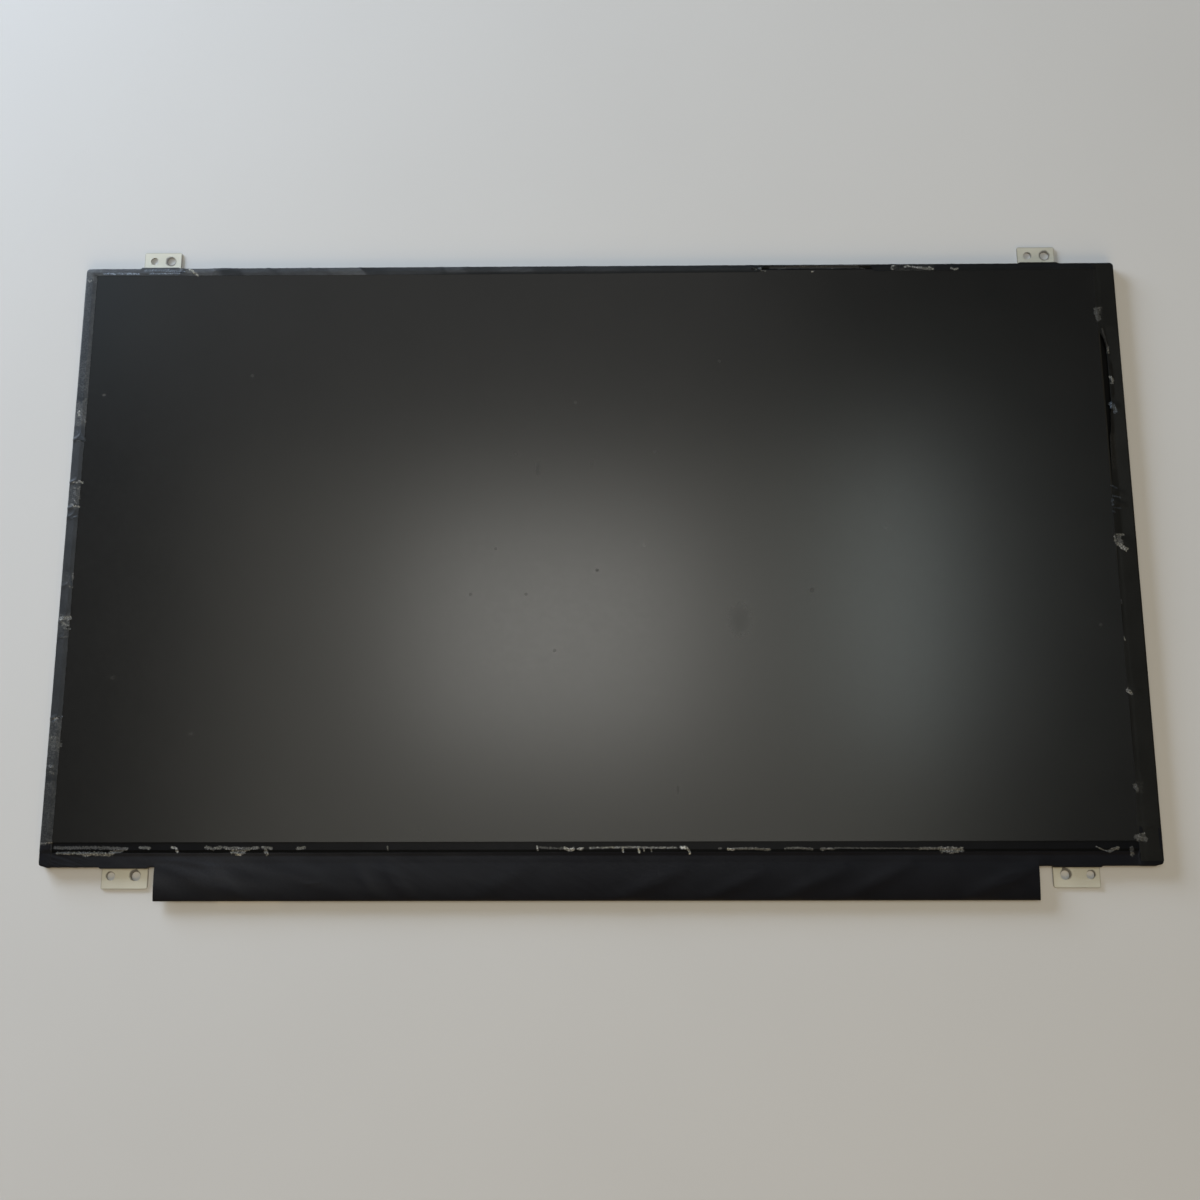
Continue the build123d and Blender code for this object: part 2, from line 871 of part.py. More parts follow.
def make_board_tape(shell):
    """Wide lower tape: both corners of the body, and the sheet over the board between them."""
    front_shape = rect(-far, far, -far, tape_bottom_edge)
    front_shape += rect(-far, tape_left_edge, -far, ear_edge)
    front_shape += rect(tape_right_edge, far, -far, ear_edge)
    rear_shape = rect(-far, far, -far, -rear_tape_end)
    rear_shape += rect(-far, -rear_tape_side, -far, ear_edge)
    rear_shape += rect(rear_tape_side, far, -far, ear_edge)
    middle = prism(rect(flap_left, flap_right, -far, 0), -above_all, above_all)
    tape = (shell & tape_region(front_shape, rear_shape)) - middle
    slope_end = board_top - film_on_board / 2
    points = [
        (tape_bottom_edge, lower_wall_front),
        (pocket_bottom, lower_wall_front),
        (slope_end, flap_film_front),
        (board_bottom, flap_film_front),
    ]
    tape += bent_sheet(points, tape_thickness, flap_left, flap_right)
    wrap_back = board_back - tape_thickness
    edge = rect(flap_left, flap_right, flap_bottom, board_bottom)
    tape += prism(edge, wrap_back, flap_film_front + tape_thickness)
    fold = rect(flap_left, flap_right, flap_bottom, flap_bottom + flap_rear_wrap)
    notch_half = socket_width / 2 + socket_tape_notch
    fold -= rect(socket_x - notch_half, socket_x + notch_half, board_bottom, far)
    return tape + prism(fold, wrap_back, board_back)


# All pieces by name

edge_shell = wrapped_shell(screen_front, polarizer_left, polarizer_right, upper_section)
corner_shell = wrapped_shell(filter_front, glass_left, glass_right, lower_section)
pieces = {
    "rear_cover": make_rear_cover(),
    "mid_frame": make_mid_frame(),
    "reflector_sheet": prism(guide_outline(reflector_inset), rim_front, reflector_front),
    "light_guide_plate": prism(guide_outline(0), reflector_front, guide_front),
    "lower_diffuser": prism(film_outline(film_clearance), guide_front, lower_diffuser_front),
    "lower_prism_sheet": prism(film_outline(film_clearance), lower_diffuser_front, lower_prism_front),
    "upper_prism_sheet": prism(film_outline(film_clearance), lower_prism_front, upper_prism_front),
    "upper_diffuser": prism(film_outline(film_clearance), upper_prism_front, ledge_front),
    "led_strip": make_led_strip(),
    "leds": make_leds(),
    "rim_tape": make_rim_tape(),
    "rear_polarizer": make_rear_polarizer(),
    "array_glass": prism(glass_outline(array_bottom), rear_polarizer_front, array_front),
    "filter_glass": prism(glass_outline(filter_bottom), array_front, filter_front),
    "front_polarizer": make_front_polarizer(),
    "source_board": make_source_board(),
    "memory_chip": make_chip(memory_from_left, memory_length, memory_width, memory_height),
    "timing_controller": make_chip(timing_from_left, timing_side, timing_side, timing_height),
    "power_chip": make_chip(power_from_left, power_side, power_side, power_height),
    "led_driver_chip": make_chip(led_driver_from_left, led_driver_side, led_driver_side, led_driver_height),
    "inductor": make_inductor(),
    "board_capacitors": make_small_parts(
        capacitor_runs, capacitor_length, capacitor_width, capacitor_height
    ),
    "board_resistors": make_small_parts(resistor_runs, resistor_length, resistor_width, resistor_height),
    "led_connector": make_led_connector(),
    "video_socket_housing": make_socket_housing(),
    "video_socket_shell": make_socket_shell(),
    "video_socket_contacts": make_socket_contacts(),
    "left_edge_tape": make_left_tape(edge_shell),
    "right_edge_tape": make_right_tape(edge_shell),
    "top_edge_tape": make_top_tape(edge_shell),
    "board_cover_tape": make_board_tape(corner_shell),
}
for number, x in enumerate(driver_places(), start=1):
    pieces[f"driver_film_{number}"] = make_driver_film(x)
    pieces[f"driver_chip_{number}"] = make_driver_chip(x)
for name, bracket in brackets.items():
    pieces[name] = make_bracket(bracket)

os.makedirs("parts", exist_ok=True)
for name, shape in pieces.items():
    export_step(shape, f"parts/{name}.step")
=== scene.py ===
import math

import bpy
import numpy as np
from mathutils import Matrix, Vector, noise


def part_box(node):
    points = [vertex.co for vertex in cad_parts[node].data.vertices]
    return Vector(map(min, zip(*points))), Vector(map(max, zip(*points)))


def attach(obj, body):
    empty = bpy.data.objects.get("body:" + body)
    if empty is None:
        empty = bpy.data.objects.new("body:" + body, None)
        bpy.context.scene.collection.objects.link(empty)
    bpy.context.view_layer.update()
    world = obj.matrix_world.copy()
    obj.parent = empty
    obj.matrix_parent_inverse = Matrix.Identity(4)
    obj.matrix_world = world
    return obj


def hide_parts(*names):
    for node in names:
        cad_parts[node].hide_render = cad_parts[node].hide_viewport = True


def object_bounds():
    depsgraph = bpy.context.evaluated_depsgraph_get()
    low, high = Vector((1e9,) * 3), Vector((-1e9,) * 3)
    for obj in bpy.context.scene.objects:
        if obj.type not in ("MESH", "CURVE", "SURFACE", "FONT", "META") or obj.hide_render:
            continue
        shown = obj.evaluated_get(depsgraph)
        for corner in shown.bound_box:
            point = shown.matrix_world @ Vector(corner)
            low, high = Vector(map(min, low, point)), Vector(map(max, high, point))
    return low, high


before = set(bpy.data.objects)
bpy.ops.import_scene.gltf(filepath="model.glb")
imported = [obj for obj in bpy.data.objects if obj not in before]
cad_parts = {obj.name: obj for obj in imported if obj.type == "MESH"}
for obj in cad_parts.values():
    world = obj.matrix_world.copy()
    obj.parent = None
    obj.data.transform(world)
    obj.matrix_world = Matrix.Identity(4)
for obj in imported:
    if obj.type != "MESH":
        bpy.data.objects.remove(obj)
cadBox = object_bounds()  # the CAD box, before anything is added
scene = bpy.context.scene
mm = 0.001


def boxMm(node):
    low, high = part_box(node)
    return low / mm, high / mm


# what the tapes lie on, read from the frame
screenLow, screenHigh = boxMm("front_polarizer")
glassLow, glassHigh = boxMm("filter_glass")
boardLow, boardHigh = boxMm("source_board")
halfWidth, halfHeight = boxMm("rear_cover")[1].xy
frameFront = boxMm("mid_frame")[1].z
filmFront = boxMm("driver_film_1")[1].z


# small helpers for shapes

def smooth(start, end, value):
    share = min(max((value - start) / (end - start), 0.0), 1.0)
    return share * share * (3 - 2 * share)


def within(low, high, fade, value):  # 1 from low to high, fading out over fade
    return smooth(low - fade, low, value) * (1 - smooth(high, high + fade, value))


def wobble(x, y=0.0, seed=0.0):  # soft noise, about -1 to 1
    return noise.noise(Vector((x, y, seed)))


def crease(x, y, seed):  # sharp crests, 0 to 1
    return (1 - min(abs(noise.noise(Vector((x, y, seed)))) * 3, 1)) ** 2


# camera at the photograph's place
cameraView = {
    "place": (4.624, -94.673, 407.251),
    "turn": (10.928, 0.595, -0.099),
    "lens": 37.235,
}


def placeCamera():
    bpy.ops.object.select_all(action="DESELECT")
    bpy.ops.object.camera_add(location=Vector(cameraView["place"]) * mm)
    camera = bpy.context.object
    camera.rotation_euler = [math.radians(angle) for angle in cameraView["turn"]]
    camera.data.sensor_width = 36
    camera.data.lens = cameraView["lens"]
    camera.data.clip_start = 0.01
    scene.camera = camera


# soft light: a cool window at the upper left, a pale ceiling with two lamps, a warm wall at the lower right
studio = {
    "window": {"from": (-900, 770, 300), "size": (700, 350), "watts": 24.4, "colour": (0.71, 0.83, 1.0)},
    "warmWall": {"from": (300, -2700, 1250), "size": (2200, 1500), "watts": 43, "colour": (1.0, 0.72, 0.38)},
    "ceiling": {"from": (-57, -4, 1200), "size": (944, 852), "watts": 2.75, "colour": (1.0, 0.965, 0.84)},
    "upperCeiling": {"from": (-250, 737, 1225), "size": (1000, 425), "watts": 0.66, "colour": (1.0, 0.98, 0.93)},
    "sky": {"from": (-880, 800, 1240), "size": (380, 420), "watts": 0.35, "colour": (0.45, 0.75, 1.0)},
    "lamp": {"from": (-71, 172, 1180), "size": (344, 276), "watts": 1.36, "colour": (1.0, 0.99, 0.94)},
    "sideLamp": {"from": (370, 201, 1160), "size": (24, 353), "watts": 0.5, "colour": (0.87, 1.0, 0.98)},
    "upperSky": {"from": (-300, 1180, 1215), "size": (1200, 420), "watts": 0.7, "colour": (0.75, 0.88, 1.0)},
    "room": (0.068, 0.066, 0.06),
}


def addLight(name, aimed):
    spec = studio[name]
    place = Vector(spec["from"]) * mm
    bpy.ops.object.light_add(type="AREA", location=place)
    light = bpy.context.object
    light.name = name
    if aimed:  # at the panel, or else straight down
        light.rotation_euler = place.to_track_quat("Z", "Y").to_euler()
    light.data.shape = "RECTANGLE"
    light.data.size = spec["size"][0] * mm
    light.data.size_y = spec["size"][1] * mm
    light.data.energy = spec["watts"]
    light.data.color = spec["colour"]


def lightRoom():
    bpy.ops.object.select_all(action="DESELECT")
    for name in ("window", "warmWall"):
        addLight(name, True)
    for name in ("ceiling", "upperCeiling", "sky", "upperSky", "lamp", "sideLamp"):
        addLight(name, False)
    world = bpy.data.worlds.new("room")
    world.use_nodes = True
    world.node_tree.nodes["Background"].inputs["Color"].default_value = (*studio["room"], 1)
    scene.world = world
    scene.view_settings.view_transform = "Standard"


# shader helpers

def addNode(tree, kind, values=None, **settings):
    node = tree.nodes.new(kind)
    for name, value in settings.items():
        setattr(node, name, value)
    for name, value in (values or {}).items():
        feed(tree, node.inputs[name], value)
    return node


def feed(tree, socket, value):
    if isinstance(value, bpy.types.NodeSocket):
        tree.links.new(value, socket)
    else:
        socket.default_value = value


def colour(values):
    return (*values, 1.0)


def mixColour(tree, factor, first, second):
    node = addNode(tree, "ShaderNodeMix", data_type="RGBA")
    for place, value in ((0, factor), (6, first), (7, second)):
        feed(tree, node.inputs[place], value)
    return node.outputs[2]


def mathNode(tree, operation, first, second=0.0):
    node = addNode(tree, "ShaderNodeMath", operation=operation)
    feed(tree, node.inputs[0], first)
    feed(tree, node.inputs[1], second)
    return node.outputs[0]


def remap(tree, value, fromLow, fromHigh, toLow=0.0, toHigh=1.0):
    sockets = {"Value": value, "From Min": fromLow, "From Max": fromHigh, "To Min": toLow, "To Max": toHigh}
    return addNode(tree, "ShaderNodeMapRange", sockets).outputs["Result"]


def vectorNode(tree, operation, *values):
    node = addNode(tree, "ShaderNodeVectorMath", operation=operation)
    for place, value in enumerate(values):
        feed(tree, node.inputs[place], value)
    return node.outputs


def spread(tree, value, low=0.0, high=1.0):  # noise keeps mostly to the middle of its range
    return remap(tree, value, 0.3, 0.7, low, high)


def objectPlace(tree):
    return addNode(tree, "ShaderNodeTexCoord").outputs["Object"]


def placeAxes(tree):
    return addNode(tree, "ShaderNodeSeparateXYZ", {"Vector": objectPlace(tree)}).outputs


def awayNode(tree, value, middle):  # distance from a place given in mm
    return mathNode(tree, "ABSOLUTE", mathNode(tree, "SUBTRACT", value, middle * mm))


def attributeValue(tree, name):
    return addNode(tree, "ShaderNodeAttribute", attribute_name=name).outputs["Fac"]


def noiseAt(tree, place, scale, detail=3.0):
    return addNode(tree, "ShaderNodeTexNoise", {"Vector": place, "Scale": scale, "Detail": detail}).outputs["Fac"]


def newGroup(name, inputs, outputs):
    tree = bpy.data.node_groups.new(name, "ShaderNodeTree")
    for socket, kind in inputs:
        tree.interface.new_socket(socket, in_out="INPUT", socket_type=kind)
    for socket, kind in outputs:
        tree.interface.new_socket(socket, in_out="OUTPUT", socket_type=kind)
    return tree, tree.nodes.new("NodeGroupInput").outputs, tree.nodes.new("NodeGroupOutput").inputs


def placeGroup(tree, group, values):
    node = addNode(tree, "ShaderNodeGroup", node_tree=group)
    for name, value in values.items():
        feed(tree, node.inputs[name], value)
    return node.outputs


number = "NodeSocketFloat"
vector = "NodeSocketVector"


def makeGrain():  # fine uneven tone, for roughness, tint and bump
    tree, given, out = newGroup("fineGrain", [("Scale", number)], [("Grain", number), ("Cloud", number)])
    place = objectPlace(tree)
    feed(tree, out["Grain"], noiseAt(tree, place, given["Scale"], 4))
    feed(tree, out["Cloud"], noiseAt(tree, place, mathNode(tree, "MULTIPLY", given["Scale"], 0.06), 3))
    return tree


def makeSpot():  # one soft uneven mark
    tree, given, out = newGroup(
        "softSpot", [("Centre", vector), ("Size", vector), ("Ragged", number)], [("Mask", number)])
    place = objectPlace(tree)
    offset = vectorNode(tree, "SUBTRACT", place, given["Centre"])[0]
    scaled = vectorNode(tree, "DIVIDE", offset, given["Size"])[0]
    length = vectorNode(tree, "LENGTH", scaled)["Value"]
    uneven = mathNode(tree, "SUBTRACT", noiseAt(tree, place, 700, 4), 0.5)
    fray = mathNode(tree, "MULTIPLY", uneven, given["Ragged"])
    feed(tree, out["Mask"], remap(tree, mathNode(tree, "ADD", length, fray), 1.0, 0.2))
    return tree


def makeSpecks():  # sparse dust specks
    tree, given, out = newGroup("dustSpecks", [("Scale", number), ("Share", number)], [("Mask", number)])
    cells = addNode(tree, "ShaderNodeTexVoronoi", {"Vector": objectPlace(tree), "Scale": given["Scale"]})
    chosen = addNode(tree, "ShaderNodeSeparateColor")
    feed(tree, chosen.inputs[0], cells.outputs["Color"])
    near = remap(tree, cells.outputs["Distance"], 0.22, 0.10)
    picked = mathNode(tree, "LESS_THAN", chosen.outputs[0], given["Share"])
    feed(tree, out["Mask"], mathNode(tree, "MULTIPLY", near, picked))
    return tree


fineGrain = makeGrain()
softSpot = makeSpot()
dustSpecks = makeSpecks()


def startMaterial(name):
    material = bpy.data.materials.new(name)
    material.use_nodes = True
    tree = material.node_tree
    return material, tree, tree.nodes["Principled BSDF"].inputs


def addBump(tree, sockets, height, distance, strength=1.0):
    bump = addNode(tree, "ShaderNodeBump", {"Strength": strength, "Distance": distance * mm, "Height": height})
    feed(tree, sockets["Normal"], bump.outputs["Normal"])


# finish of the screen: black anti-glare film with a few smudges and specks
screenFinish = {
    "black": (0.0045, 0.0046, 0.0047),
    "paleTone": (0.0060, 0.0060, 0.0060),
    "smudge": (0.012, 0.0115, 0.010),
    "roughness": (0.235, 0.262),
    "smudgeRoughness": 0.46,
    "speck": (0.11, 0.108, 0.10),
    # centre and half size in mm, and strength, of each dull mark
    "marks": [
        ((-20.4, 29.1), (0.9, 3.2), 0.9),
        ((46.8, -23.5), (4.8, 6.8), 0.5),
        ((-2.1, 30.7), (1.0, 0.8), 1.0),
        ((25.6, -79.0), (0.5, 1.6), 1.0),
        ((70.9, -13.5), (0.9, 0.8), 1.0),
        ((-0.4, -6.4), (0.7, 0.6), 1.0),
        ((41.8, 67), (0.7, 0.7), 0.6),
        ((-28, 34), (0.7, 0.6), 0.5),
        ((-34.5, 1), (0.7, 0.6), 0.5),
        ((-42.5, -14.5), (0.6, 0.6), 0.5),
        ((-24, -14.5), (0.6, 0.6), 0.5),
        ((-14.5, -33.5), (0.6, 0.6), 0.5),
        ((-57.5, -92), (1.0, 0.6), 0.7),
    ],
    # the same for each pale speck
    "specks": [
        ((-170.1, 55.9), (0.9, 0.6), 0.5),
        ((-160, -42), (1.2, 0.9), 0.12),
        ((-133, -60.5), (1.4, 0.8), 0.12),
    ],
}


def spotMask(tree, spots):
    total = None
    for centre, size, strength in spots:
        values = {
            "Centre": (centre[0] * mm, centre[1] * mm, screenHigh.z * mm),
            "Size": (size[0] * mm, size[1] * mm, 1.0),
            "Ragged": 0.9,
        }
        mask = mathNode(tree, "MULTIPLY", placeGroup(tree, softSpot, values)["Mask"], strength)
        total = mask if total is None else mathNode(tree, "MAXIMUM", total, mask)
    return total


def makeScreenFinish():
    spec = screenFinish
    material, tree, sockets = startMaterial("antiGlareScreen")
    grain = placeGroup(tree, fineGrain, {"Scale": 900})
    marks = spotMask(tree, spec["marks"])
    dust = placeGroup(tree, dustSpecks, {"Scale": 260, "Share": 0.006})["Mask"]
    pale = mathNode(tree, "MAXIMUM", mathNode(tree, "MULTIPLY", dust, 0.15), spotMask(tree, spec["specks"]))
    body = mixColour(tree, spread(tree, grain["Cloud"]), colour(spec["black"]), colour(spec["paleTone"]))
    marked = mixColour(tree, marks, body, colour(spec["smudge"]))
    feed(tree, sockets["Base Color"], mixColour(tree, pale, marked, colour(spec["speck"])))
    even = spread(tree, grain["Grain"], *spec["roughness"])
    rough = addNode(tree, "ShaderNodeMix", data_type="FLOAT")
    feed(tree, rough.inputs[0], marks)
    feed(tree, rough.inputs[2], even)
    feed(tree, rough.inputs[3], spec["smudgeRoughness"])
    feed(tree, sockets["Roughness"], rough.outputs[0])
    return material


# finish of the black tapes: matt film, paler where the paleTone attribute says, which holds a dust haze together with
# painted sheen and shade of the window's light, and dusty where the wear attribute says
tapeFinishes = {
    "edgeTape": {"black": (0.0040, 0.0043, 0.0049), "grey": (0.0060, 0.0064, 0.0072), "roughness": (0.34, 0.46),
                 "gloss": 0.19, "tint": (0.92, 0.97, 1.0)},
    "sideTape": {"black": (0.0045, 0.0045, 0.0041), "grey": (0.0062, 0.0062, 0.0056), "roughness": (0.36, 0.50),
                 "gloss": 0.19, "tint": (1.0, 1.0, 0.96)},
    "boardTape": {"black": (0.0036, 0.0037, 0.0056), "grey": (0.0052, 0.0053, 0.0074), "roughness": (0.36, 0.50),
                  "gloss": 0.1, "tint": (0.93, 0.95, 1.0)},
    "dust": (0.17, 0.168, 0.155),
    # pale tone of a dust haze, also used as painted sheen of the window's light
    "paleTone": (0.16, 0.166, 0.172),
}


def makeTapeFinish(name):
    spec = tapeFinishes[name]
    material, tree, sockets = startMaterial(name)
    grain = placeGroup(tree, fineGrain, {"Scale": 1500})
    wear = attributeValue(tree, "wear")
    mottle = remap(tree, noiseAt(tree, objectPlace(tree), 1900, 7), 0.40, 0.66, 0.0, 1.8)
    dust = mathNode(tree, "MINIMUM", mathNode(tree, "MULTIPLY", wear, mottle), 1.0)
    body = mixColour(tree, remap(tree, grain["Cloud"], 0.35, 0.7), colour(spec["black"]), colour(spec["grey"]))
    # paleTone: dust haze and painted sheen, with painted shade where it drops
    paleTone = mathNode(tree, "MULTIPLY", attributeValue(tree, "paleTone"), spread(tree, grain["Grain"], 0.85, 1.15))
    body = mixColour(tree, paleTone, body, colour(tapeFinishes["paleTone"]))
    feed(tree, sockets["Base Color"], mixColour(tree, dust, body, colour(tapeFinishes["dust"])))
    even = spread(tree, grain["Grain"], *spec["roughness"])
    feed(tree, sockets["Roughness"], mathNode(tree, "ADD", even, mathNode(tree, "MULTIPLY", dust, 0.3)))
    sockets["Specular IOR Level"].default_value = spec["gloss"]
    sockets["Specular Tint"].default_value = colour(spec["tint"])
    addBump(tree, sockets, mathNode(tree, "ADD", grain["Grain"], dust), 0.02, 0.5)
    return material


# finishes of the torn paper and glue on the glass and the tapes, and of the curled film strokes whose pale bluish tone
# is a painted highlight of the window
residueFinishes = {
    "tornResidue": {"pale": (0.58, 0.58, 0.56), "tan": (0.47, 0.46, 0.38), "grey": (0.020, 0.021, 0.022),
                    "roughness": 0.6},
    # pale bluish tone: painted highlights of the window's light on curled and bulging tape
    "curledFilmGlint": {"pale": (0.40, 0.47, 0.56), "tan": (0.30, 0.37, 0.46), "grey": (0.012, 0.014, 0.017),
                   "roughness": 0.4},
}


def makeResidueFinish(name):
    spec = residueFinishes[name]
    material, tree, sockets = startMaterial(name)
    place = objectPlace(tree)
    tone = attributeValue(tree, "wear")
    fine = noiseAt(tree, place, 2400, 5)
    broad = noiseAt(tree, place, 500, 3)
    body = mixColour(tree, remap(tree, broad, 0.42, 0.60), colour(spec["tan"]), colour(spec["pale"]))
    uneven = mathNode(tree, "MULTIPLY", tone, remap(tree, fine, 0.35, 0.68, 0.55, 1.15))
    share = mathNode(tree, "MINIMUM", mathNode(tree, "POWER", uneven, 1.7), 1.0)
    feed(tree, sockets["Base Color"], mixColour(tree, share, colour(spec["grey"]), body))
    sockets["Roughness"].default_value = spec["roughness"]
    sockets["Specular IOR Level"].default_value = 0.3
    addBump(tree, sockets, fine, 0.05, 0.6)
    return material


# plain finishes of the other pieces: two tones, a spread of roughness, grain size and bump in mm, and where they apply
# streaks, stripes (axis, number per mm, share, tone), a tone beyond a level in mm, or terminals (middle, row, start)
plainFinishes = {
    # glass of the ledge in the lower groove: darker than the filter glass, for its dark sealing and as painted shade of
    # the recess
    "shadedLedgeGlass": {"tones": ((0.0015, 0.0016, 0.0018), (0.0025, 0.0026, 0.0029)), "roughness": (0.5, 0.6),
                   "gloss": 0.085, "scale": 1200, "bump": 0.002},
    "blackFilm": {"tones": ((0.0006, 0.0006, 0.0006), (0.001, 0.001, 0.001)), "roughness": (0.5, 0.6), "gloss": 0.02,
                  "scale": 1200, "bump": 0.003},
    "darkGlass": {"tones": ((0.0022, 0.0024, 0.0032), (0.0038, 0.0040, 0.0052)), "roughness": (0.3, 0.42), "gloss": 0.1,
                  "scale": 1200, "bump": 0.002, "beyond": ("X", 172.3, (0.02, 0.02, 0.018))},
    "blackMoulding": {"tones": ((0.0008, 0.0008, 0.0008), (0.0014, 0.0014, 0.0014)), "roughness": (0.5, 0.65),
                      "gloss": 0.1, "scale": 1600, "bump": 0.01, "beyond": ("Z", 2.0, (0.010, 0.010, 0.0088))},
    "rolledCover": {"tones": ((0.60, 0.605, 0.61), (0.64, 0.64, 0.64)), "roughness": (0.33, 0.41), "metallic": 1.0,
                    "scale": 1400, "bump": 0.0012, "rolled": (6, 900)},
    "whiteFilm": {"tones": ((0.82, 0.82, 0.80), (0.88, 0.88, 0.87)), "roughness": (0.4, 0.5), "scale": 800,
                  "bump": 0.004},
    "clearSheet": {"tones": ((0.80, 0.83, 0.84), (0.88, 0.90, 0.90)), "roughness": (0.12, 0.2), "scale": 700,
                   "bump": 0.002},
    "polarizerFilm": {"tones": ((0.05, 0.05, 0.052), (0.07, 0.07, 0.07)), "roughness": (0.2, 0.3), "scale": 900,
                      "bump": 0.002},
    "flexStrip": {"tones": ((0.80, 0.79, 0.74), (0.86, 0.85, 0.80)), "roughness": (0.35, 0.5), "scale": 900,
                  "bump": 0.004},
    "amberFilm": {"tones": ((0.24, 0.10, 0.025), (0.34, 0.15, 0.04)), "roughness": (0.25, 0.38), "scale": 900,
                  "bump": 0.003, "stripes": ("X", 5.0, 0.45, (0.50, 0.24, 0.10))},
    "greenBoard": {"tones": ((0.018, 0.10, 0.035), (0.026, 0.13, 0.05)), "roughness": (0.28, 0.4), "scale": 900,
                   "bump": 0.006, "stripes": ("Y", 2.4, 0.4, (0.045, 0.17, 0.07)), "broken": 220},
    "chipPackage": {"tones": ((0.016, 0.016, 0.017), (0.026, 0.026, 0.027)), "roughness": (0.42, 0.58), "scale": 2600,
                    "bump": 0.01},
    "ferriteCore": {"tones": ((0.06, 0.06, 0.062), (0.10, 0.10, 0.10)), "roughness": (0.5, 0.65), "scale": 2600,
                    "bump": 0.01},
    "ivoryHousing": {"tones": ((0.70, 0.67, 0.58), (0.76, 0.73, 0.65)), "roughness": (0.4, 0.5), "scale": 1800,
                     "bump": 0.006},
    "tinShell": {"tones": ((0.62, 0.62, 0.61), (0.74, 0.74, 0.72)), "roughness": (0.25, 0.36), "metallic": 1.0,
                 "scale": 1800, "bump": 0.004},
    "goldPlating": {"tones": ((0.83, 0.60, 0.24), (0.90, 0.68, 0.30)), "roughness": (0.2, 0.3), "metallic": 1.0,
                    "scale": 1800, "bump": 0.002},
    "bareSilicon": {"tones": ((0.05, 0.052, 0.058), (0.08, 0.082, 0.09)), "roughness": (0.15, 0.25), "scale": 1400,
                    "bump": 0.002},
    "ceramicPart": {"tones": ((0.36, 0.25, 0.16), (0.44, 0.31, 0.20)), "roughness": (0.35, 0.5), "scale": 2200,
                    "bump": 0.006, "terminals": (-109.07, 1.95, 0.5)},
    "resistorPart": {"tones": ((0.02, 0.02, 0.021), (0.03, 0.03, 0.031)), "roughness": (0.3, 0.45), "scale": 2200,
                     "bump": 0.006, "terminals": (-109.07, 1.95, 0.32)},
    "ledPackage": {"tones": ((0.80, 0.79, 0.74), (0.86, 0.85, 0.80)), "roughness": (0.35, 0.5), "scale": 1800,
                   "bump": 0.004, "beyond": ("Y", boxMm("leds")[1].y - 0.05, (0.80, 0.66, 0.12))},
    "prismSheet": {"tones": ((0.76, 0.79, 0.80), (0.84, 0.86, 0.87)), "roughness": (0.15, 0.25), "scale": 700,
                   "bump": 0.004, "stripes": ("Y", 10.0, 0.5, (0.70, 0.73, 0.75))},
}


tinTone = (0.70, 0.70, 0.68)


def makePlainFinish(name):
    spec = plainFinishes[name]
    material, tree, sockets = startMaterial(name)
    grain = placeGroup(tree, fineGrain, {"Scale": spec["scale"]})
    fine = grain["Grain"]
    axes = placeAxes(tree)
    if "rolled" in spec:  # long streaks along the sheet
        along, across = spec["rolled"]
        stretched = addNode(tree, "ShaderNodeMapping", {"Vector": objectPlace(tree), "Scale": (along, across, across)})
        fine = noiseAt(tree, stretched.outputs["Vector"], 1.0, 4)
    low, high = spec["tones"]
    body = mixColour(tree, spread(tree, grain["Cloud"]), colour(low), colour(high))
    if "stripes" in spec:
        axis, perMm, share, tone = spec["stripes"]
        step = mathNode(tree, "FRACT", mathNode(tree, "MULTIPLY", axes[axis], perMm / mm))
        lines = mathNode(tree, "LESS_THAN", step, share)
        if "broken" in spec:
            kept = remap(tree, noiseAt(tree, objectPlace(tree), spec["broken"], 0), 0.48, 0.5)
            lines = mathNode(tree, "MULTIPLY", lines, kept)
        body = mixColour(tree, lines, body, colour(tone))
    if "beyond" in spec:  # another tone past one level
        axis, edge, tone = spec["beyond"]
        body = mixColour(tree, mathNode(tree, "GREATER_THAN", axes[axis], edge * mm), body, colour(tone))
    sockets["Metallic"].default_value = spec.get("metallic", 0.0)
    if "terminals" in spec:  # tinned ends of the parts in two rows
        middle, row, start = spec["terminals"]
        away = awayNode(tree, awayNode(tree, axes["Y"], middle), row)
        tinned = mathNode(tree, "GREATER_THAN", away, start * mm)
        body = mixColour(tree, tinned, body, colour(tinTone))
        feed(tree, sockets["Metallic"], tinned)
    feed(tree, sockets["Base Color"], body)
    feed(tree, sockets["Roughness"], spread(tree, fine, *spec["roughness"]))
    sockets["Specular IOR Level"].default_value = spec.get("gloss", 0.5)
    addBump(tree, sockets, fine, spec["bump"])
    return material


# finish of the stamped tabs: pale plating, side walls darkened as bare cut edges and as painted shade, a painted shade
# line inside each outline, and dark places round the holes that are partly worn and partly painted shade of the hole
# walls, with notches at the lower larger holes
tabFinish = {
    "pale": (0.61, 0.595, 0.505),
    "dull": (0.55, 0.535, 0.45),
    # dark tone round the holes: wear together with painted shade of the hole walls
    "worn": (0.15, 0.14, 0.12),
    "roughness": (0.42, 0.58),
    # side walls: bare cut steel, darker still as painted shade of the walls
    "shadedCutEdge": (0.24, 0.225, 0.19),
    # painted shade: a thin dark line just inside each tab's outline, for its contact shadow and the dark rounded edge
    "rim": (0.36, 0.34, 0.285),
    "rimBreadth": 0.32,
    # middle and half size of the upper and lower tabs, on either side
    "tabs": [((153.75, 106.1), (6.5, 3.5)), ((152.35, -106.3), (7.5, 3.7))],
    "edgeBand": (0.13, 0.50),  # levels of the cut edges, in mm
    # centre and half size of each dark place round a hole, partly wear and partly painted shade of the hole wall, in mm
    "wornAndShadedPlaces": [((-150.95, 106.4), 2.1), ((156.7, 106.55), 2.15), ((-149.05, -105.6), 2.0),
                   ((-148.75, -104.3), 0.75), ((149.0, -105.6), 2.0), ((148.5, -104.2), 0.85),
                   ((-157.0, -105.8), 1.6), ((157.05, -105.75), 1.6), ((150.9, 106.5), 1.5)],
}


